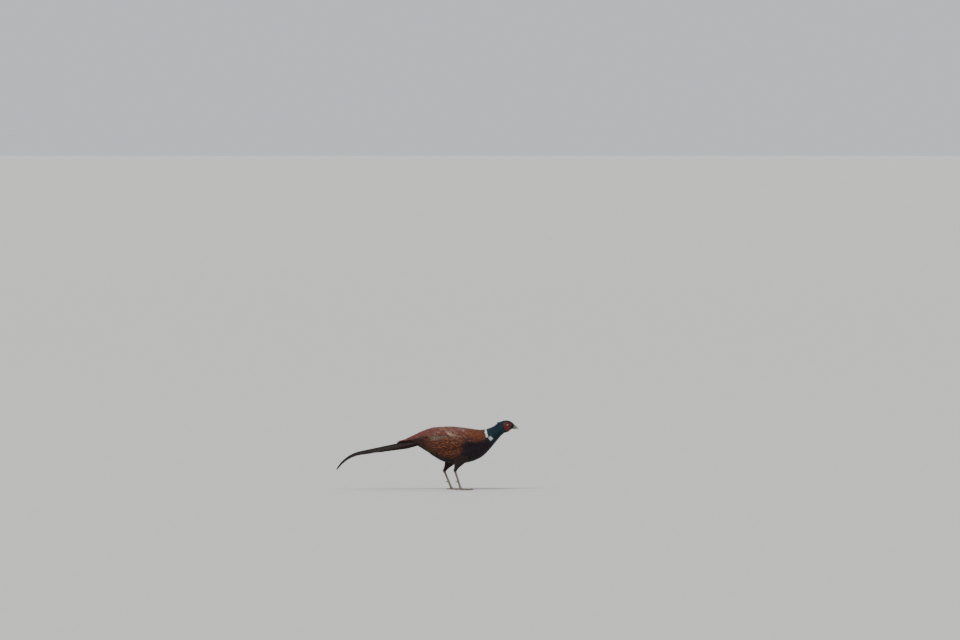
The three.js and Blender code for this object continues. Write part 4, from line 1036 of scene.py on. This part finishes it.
    def bill(self, name: str, node: str, rows: list, nostril: bool) -> None:
        """Half of the bill: a closed tube through rows of x, z, half height, half width and tilt in degrees."""
        places = np.linspace(0, len(rows) - 1, 90)[:, None]
        middle_x, middle_z, high, wide, tilt = np.moveaxis(Spline(np.array(rows, float)).at(places), -1, 0)
        angles, tilt = circle(64), np.radians(tilt)
        rise = high * np.cos(angles)
        ridge = 1 - 0.16 * np.maximum(0, np.cos(angles)) ** 2 if nostril else 1.0
        x, z = middle_x - np.sin(tilt) * rise, middle_z + np.cos(tilt) * rise
        y = wide * np.sin(angles) * ridge
        hole = 0 * x
        if nostril:
            flap = np.exp(-(((x - 353.2) / 4.2) ** 2 + ((z - 265.0) / 1.9) ** 2))
            hole = np.exp(-(((x - 355.2) / 2.2) ** 2 + ((z - 262.7) / 0.75) ** 2))
            y = y + np.sign(y) * (0.9 * flap - 1.5 * hole)
        colour = blend(srgb(168, 164, 150), srgb(112, 108, 100), smooth(0.1, 0.6, 1 - (x - 350) / 22))
        colour = blend(colour, srgb(76, 70, 62), 0.35 * smooth(0.2, 0.9, wobble(x, y, z, 0.9)))
        # The nostril's dent is painted near black: painted shade inside the opening.
        colour = blend(colour, srgb(20, 14, 12), np.clip(1.4 * hole, 0, 1))
        piece = Piece(name, HORN, Slot.BILL)
        piece.add_tube(np.stack([x, y, z], axis=-1), colour)
        piece.make(self.bird.shift, (node,))

    def upper_bill(self) -> None:
        """The upper half: a curved ridge, nostrils under swollen flaps, and a hooked tip."""
        rows = [(343, 264, 6.4, 6.2, -6), (350, 263.4, 6.2, 5.9, -8), (356.5, 261.8, 5.4, 5.0, -18),
                (362.5, 259, 4.3, 3.9, -32), (367.5, 255.4, 3.2, 2.7, -46), (371, 251.3, 1.8, 1.5, -60),
                (372.4, 248.2, 0.5, 0.5, -68)]
        self.bill("bill_upper_horn", "bill_upper", rows, nostril=True)

    def lower_bill(self) -> None:
        """The lower half, which closes under the upper one along the line of the mouth."""
        rows = [(339, 253.9, 3.6, 5.2, -7), (347, 253.8, 4.0, 5.1, -7), (354, 253.1, 3.9, 4.4, -9),
                (360, 252.1, 3.4, 3.2, -12), (365.3, 250.9, 2.2, 1.8, -20), (368, 249.9, 0.6, 0.6, -25)]
        self.bill("bill_lower_horn", "bill_lower", rows, nostril=False)


@dataclass(frozen=True)
class Toe:
    """A toe: its angle outwards in degrees, its length to the claw, its radius and the claw's length."""

    angle: float
    length: float
    radius: float
    claw: float
    joints: int


TOES = {
    "inner": Toe(-32, 31, 4, 9, 2),
    "middle": Toe(2, 44, 4.4, 11, 3),
    "outer": Toe(34, 34, 4, 9, 2),
    "hind": Toe(172, 13, 3.3, 7, 1),
}


class Leg:
    """One leg: the feathered thigh, the scaled shank with its spur, the foot and its claws."""

    HORN_COLOUR = srgb(122, 114, 100)
    # The colour of the grooves between the leg's scales, which is painted shade.
    GROOVE_SHADE = srgb(70, 62, 54)

    def __init__(self, side: int, word: str, foot: tuple, hock: tuple, knee: tuple, turn: float) -> None:
        """Keeps the joints, with y counted outwards, and forms the thigh.

        Args:
            side: -1 right, 1 left. foot, hock, knee: joints in millimetres. turn: degrees that the foot points out.
        """
        self.side, self.word, self.turn = side, word, turn
        self.foot, self.hock, self.knee = (np.array([p[0], side * p[1], p[2]], float) for p in (foot, hock, knee))
        along = self.hock - self.knee
        sizes = [(-0.2, 17, 8), (0.05, 30, 16), (0.3, 28.5, 17), (0.52, 20.5, 14), (0.75, 11.2, 9.2), (0.92, 6.6, 6.2)]
        self.thigh = Limb([(*(self.knee + along * s), fore, across) for s, fore, across in sizes], along)

    def build(self, bird: Bird) -> None:
        """Makes every piece of the leg."""
        self.thigh_coat(bird)
        self.shank(bird)
        self.feet(bird)

    def thigh_coat(self, bird: Bird) -> None:
        """Soft feathers that point down the thigh and end in a cuff over the hock."""
        random = bird.random
        places, angles = [], []
        for row, at in enumerate(np.arange(0.25, self.thigh.last - 0.05, 0.22)):
            girth = float(self.thigh.spline.at(np.array(at))[3:].sum()) * np.pi
            count = max(int(girth / 5.5), 9)
            angles.append((np.arange(count) + 0.5 * (row % 2) + 0.4 * random.random(count)) / count * 2 * np.pi)
            places.append(np.full(count, at))
        place, angle = np.concatenate(places), np.concatenate(angles)
        count = len(place)
        vanes = Vanes(7, 5)
        s, q = vanes.s, vanes.q
        length = np.interp(place, [0, 3, 4.6], [24, 17, 11]) * (0.85 + 0.3 * random.random(count))
        half = np.interp(place, [0, 3, 4.6], [6.5, 5.0, 3.0])
        along_speed, round_speed = self.thigh.speeds(place, angle)
        chance = random.random(count)[:, None, None]
        across = q * vanes.width(half, 3.0)
        at = place[:, None, None] + s * (length / along_speed)[:, None, None]
        slim = np.clip(1.4 - 1.1 * at / self.thigh.last, 0.4, 1.0)
        lift = slim * (-2.2 + 3.6 * s**0.8 + 0.6 * (chance - 0.5) - 0.6 * (across / half[:, None, None]) ** 2)
        beyond = np.maximum(at - self.thigh.last, 0.0)
        round_ = angle[:, None, None] + across / np.maximum(round_speed, 4)[:, None, None]
        points = self.thigh.point(at, round_, lift)
        step = self.thigh.spline.at(np.array(self.thigh.last)) - self.thigh.spline.at(np.array(self.thigh.last - 0.5))
        points = points + beyond[..., None] * 2.0 * step[:3]
        normals = unit(self.thigh.point(at, round_, lift + 1) - self.thigh.point(at, round_, lift))
        colours = blend(Markings.BELLY * 1.2, Markings.MAROON, 0.35 * chance * s + 0 * q)
        u = 0.78 + 0.18 * place / self.thigh.last
        v = 0.04 + 0.4 * (angle / (2 * np.pi) % 1.0) + 0.5 * (self.side > 0)
        piece = Piece(f"coat_thigh_{self.word}", FEATHER, Slot.PLUMAGE)
        vanes.fill(piece, points, normals, 0.3, colours, across, s * length[:, None, None], np.stack([u, v], -1))
        piece.make(bird.shift)

    def scaled(self, piece: Piece, form: Limb, rings: int, sides: int, scutes: float, depth: float) -> None:
        """Adds a limb with broad plates on its front and small round scales elsewhere.

        Args:
            scutes: plates in one unit of place. depth: relief in millimetres.
        """
        at, angle = np.linspace(0, form.last, rings)[:, None], circle(sides)
        facing, sidewards = -np.cos(angle), np.sin(angle)
        plate = np.abs(np.sin(np.pi * (at * scutes + 0.5 * (sidewards < 0)))) ** 0.35
        crease = 1 - np.exp(-((sidewards / 0.1) ** 2)) * (facing > 0)
        rows = at * scutes * 2.1
        beads = np.abs(np.sin(np.pi * rows) * np.sin(angle * 6 + np.pi * np.floor(rows))) ** 0.6
        ahead = smooth(-0.15, 0.25, facing + 0 * at)
        relief = ahead * plate * (0.7 + 0.3 * crease) + (1 - ahead) * 0.75 * beads
        # The colour follows the relief: darker in the grooves between plates and round scales, as painted shade.
        piece.add_tube(form.point(at, angle, depth * (relief - 0.8)),
                       blend(self.GROOVE_SHADE, self.HORN_COLOUR, np.clip(relief, 0, 1) ** 1.4))

    def shank(self, bird: Bird) -> None:
        """The shank from inside the cuff to the foot, with the spur at its back."""
        above, down = unit(self.hock - self.knee), unit(self.foot - self.hock)
        start = self.hock + 0.13 * (self.knee - self.hock)
        end = self.foot - down * 5.5
        top = self.hock + down * 7
        rows = [(*(start - above * 4), 4.6, 4.2), (*start, 4.9, 4.5), (*self.hock, 6.1, 5.1)]
        for k in range(9):
            waist = 0.5 * math.sin(math.pi * k / 8)
            rows.append((*(top + (end - top) * k / 8), 4.9 - waist, 3.9 - waist))
        piece = Piece(f"shank_{self.word}_scales", LEG_SCALES, Slot.LEG)
        self.scaled(piece, Limb(rows), 240, 48, scutes=1.45, depth=0.5)
        back = unit(np.array([-1.0, 0, 0]) - down * -down[0])
        root = self.foot + 0.36 * (self.hock - self.foot)
        way = unit(back + np.array([0.0, -0.35 * self.side, 0.25]))
        spur = Limb([(*(root + way * d), r, r) for d, r in ((0, 3.2), (5, 3.0), (10, 1.8), (14, 0.8), (15, 0.3))])
        places = np.linspace(0, spur.last, 40)[:, None]
        piece.add_tube(spur.point(places, circle(28)), blend(self.HORN_COLOUR, srgb(58, 48, 40), places / spur.last))
        piece.make(bird.shift, (f"shank_{self.word}",))

    def feet(self, bird: Bird) -> None:
        """The foot: its joint and four toes, flat underneath, and a claw on each toe."""
        up = unit(self.hock - self.foot)
        foot = Piece(f"foot_{self.word}_scales", LEG_SCALES, Slot.LEG)
        claws = Piece(f"claws_{self.word}", HORN, Slot.CLAW)
        ball = Limb([(*(self.foot + up * s), fore, side) for s, fore, side in
                     ((7, 4.4, 3.6), (3, 5.2, 4.8), (-1, 6.1, 5.9), (-5, 5.6, 5.6), (-8.4, 2.5, 2.5))])
        self.scaled(foot, ball, 60, 48, scutes=1.2, depth=0.4)
        for name, toe in TOES.items():
            turn = math.radians(self.turn + toe.angle) * self.side
            way = np.array([math.cos(turn), math.sin(turn), 0.0])
            rows = []
            steps = toe.joints * 4
            for i in range(steps + 1):
                s = i / steps
                radius = toe.radius * (1 - 0.28 * s) * (1 + 0.1 * math.cos(2 * math.pi * toe.joints * s))
                lifted = 4.2 * (1 - s) if name == "hind" else 0.0
                low = max(self.foot[2] - 4, toe.radius * 0.82)
                mix = min(1.0, 2.4 * s)
                height = low * (1 - mix) + (toe.radius * 0.68 + lifted) * mix
                at = self.foot * (1, 1, 0) + way * s * toe.length
                rows.append((at[0], at[1], height, radius, radius * 0.95))
            rows.append((*(rows[-1][0:3] + np.append(way[:2] * 1.4, 0)), rows[-1][3] * 0.72, rows[-1][4] * 0.72))
            self.scaled(foot, Limb(rows), 30 * toe.joints + 30, 36, scutes=2.0, depth=0.35)
            start = self.foot * (1, 1, 0) + way * (toe.length + 0.3)
            radius = toe.radius * 0.72
            shape = ((-0.25, 0.85, 0.78), (0, 1, 0.8), (0.35, 0.78, 0.82), (0.7, 0.5, 0.68), (0.95, 0.2, 0.42), (1, 0.1, 0.36))
            claw = Limb([(*(start + way * s * toe.claw)[:2], toe.radius * level + 0.4, radius * size * 0.95,
                          radius * size * 0.8) for s, size, level in shape])
            places = np.linspace(0, claw.last, 36)[:, None]
            claws.add_tube(claw.point(places, circle(24)), blend(srgb(84, 72, 60), srgb(26, 20, 16), places / claw.last))
        foot.vertices = [np.column_stack([v[:, :2], np.maximum(v[:, 2], 0.02)]) for v in foot.vertices]
        foot.make(bird.shift, (f"foot_{self.word}",))
        claws.make(bird.shift, tuple(f"claw_{self.word}_{name}" for name in TOES))


class Studio:
    """The pale floor, the soft lights, and the camera at the picture's long, low angle."""

    def __init__(self) -> None:
        """Sets up everything that isn't the bird."""
        self.floor()
        self.lights()
        self.camera()

    def floor(self) -> None:
        """One broad pale floor, soft and dull."""
        bpy.ops.mesh.primitive_plane_add(size=600)
        plane = bpy.context.object
        plane.name = "studio_floor"
        made = bpy.data.materials.new("studio_floor")
        made.use_nodes = True
        shader = made.node_tree.nodes["Principled BSDF"]
        nodes = Nodes(made.node_tree)
        noise = nodes.add("ShaderNodeTexNoise", Scale=3.0, Detail=4.0).outputs["Fac"]
        ramp = nodes.add("ShaderNodeValToRGB", Fac=noise)
        ramp.color_ramp.elements[0].color = (0.60, 0.59, 0.57, 1)
        ramp.color_ramp.elements[1].color = (0.66, 0.65, 0.63, 1)
        made.node_tree.links.new(ramp.outputs["Color"], shader.inputs["Base Color"])
        shader.inputs["Roughness"].default_value = 0.85
        plane.data.materials.append(made)

    def lights(self) -> None:
        """A pale sky, and one soft sun high on the camera's left."""
        world = bpy.data.worlds.new("studio_world")
        world.use_nodes = True
        world.node_tree.nodes["Background"].inputs["Color"].default_value = (0.86, 0.9, 0.96, 1)
        world.node_tree.nodes["Background"].inputs["Strength"].default_value = 0.75
        bpy.context.scene.world = world
        sun = bpy.data.lights.new("studio_sun", "SUN")
        sun.energy = 2.6
        sun.angle = math.radians(9)
        sun.color = (1.0, 0.965, 0.91)
        holder = bpy.data.objects.new("studio_sun", sun)
        holder.rotation_euler = (math.radians(42), 0.0, math.radians(-28))
        bpy.context.scene.collection.objects.link(holder)

    def camera(self) -> None:
        """A long lens from the bird's right side, aimed so that the picture's horizon and floor rows hold."""
        pixel = SENSOR / LENS / PICTURE[0]
        distance = PIXEL / 1000.0 / pixel
        lens = bpy.data.cameras.new("camera")
        lens.lens, lens.sensor_width = LENS, SENSOR
        lens.clip_start, lens.clip_end = 0.1, 2000.0
        camera = bpy.data.objects.new("camera", lens)
        height = distance * pixel * (FLOOR_ROW - HORIZON_ROW)
        column = (PICTURE[0] / 2 - MIDDLE_COLUMN) * PIXEL / 1000.0
        camera.location = (column, -distance, height)
        down = math.atan(pixel * (PICTURE[1] / 2 - HORIZON_ROW))
        camera.rotation_euler = (math.pi / 2 - down, 0.0, 0.0)
        bpy.context.scene.collection.objects.link(camera)
        bpy.context.scene.camera = camera


def frame_shift(form: BodyForm) -> Array:
    """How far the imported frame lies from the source's own millimetres, read from the torso's rear end and sides."""
    low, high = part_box("torso")
    x = float(form.section(np.array(TAIL_TO_TORSO + 0.012))[0])
    return np.array([low[0] * 1000 - x, 500 * (low[1] + high[1]), 0.0])


def main() -> None:
    """Builds the bird from its skin outwards, then the studio."""
    logging.basicConfig(level=logging.INFO, format="%(name)s %(message)s")
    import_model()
    form = BodyForm()
    bird = Bird(form, frame_shift(form), np.random.default_rng(7))
    log.info("shift %s", bird.shift)
    legs = [
        Leg(-1, "right", (134, 33, 9), (112, 34, 80), (143, 31, 152), 4),
        Leg(1, "left", (96, 33, 9), (68, 34, 77), (112, 31, 152), 6),
    ]
    Skin(bird, legs)
    Coat(bird)
    for side, word in ((-1, "right"), (1, "left")):
        Wing(bird, side, f"wing_{word}")
    Tail(bird)
    Face(bird)
    for leg in legs:
        leg.build(bird)
    Studio()


if __name__ == "__main__":
    main()
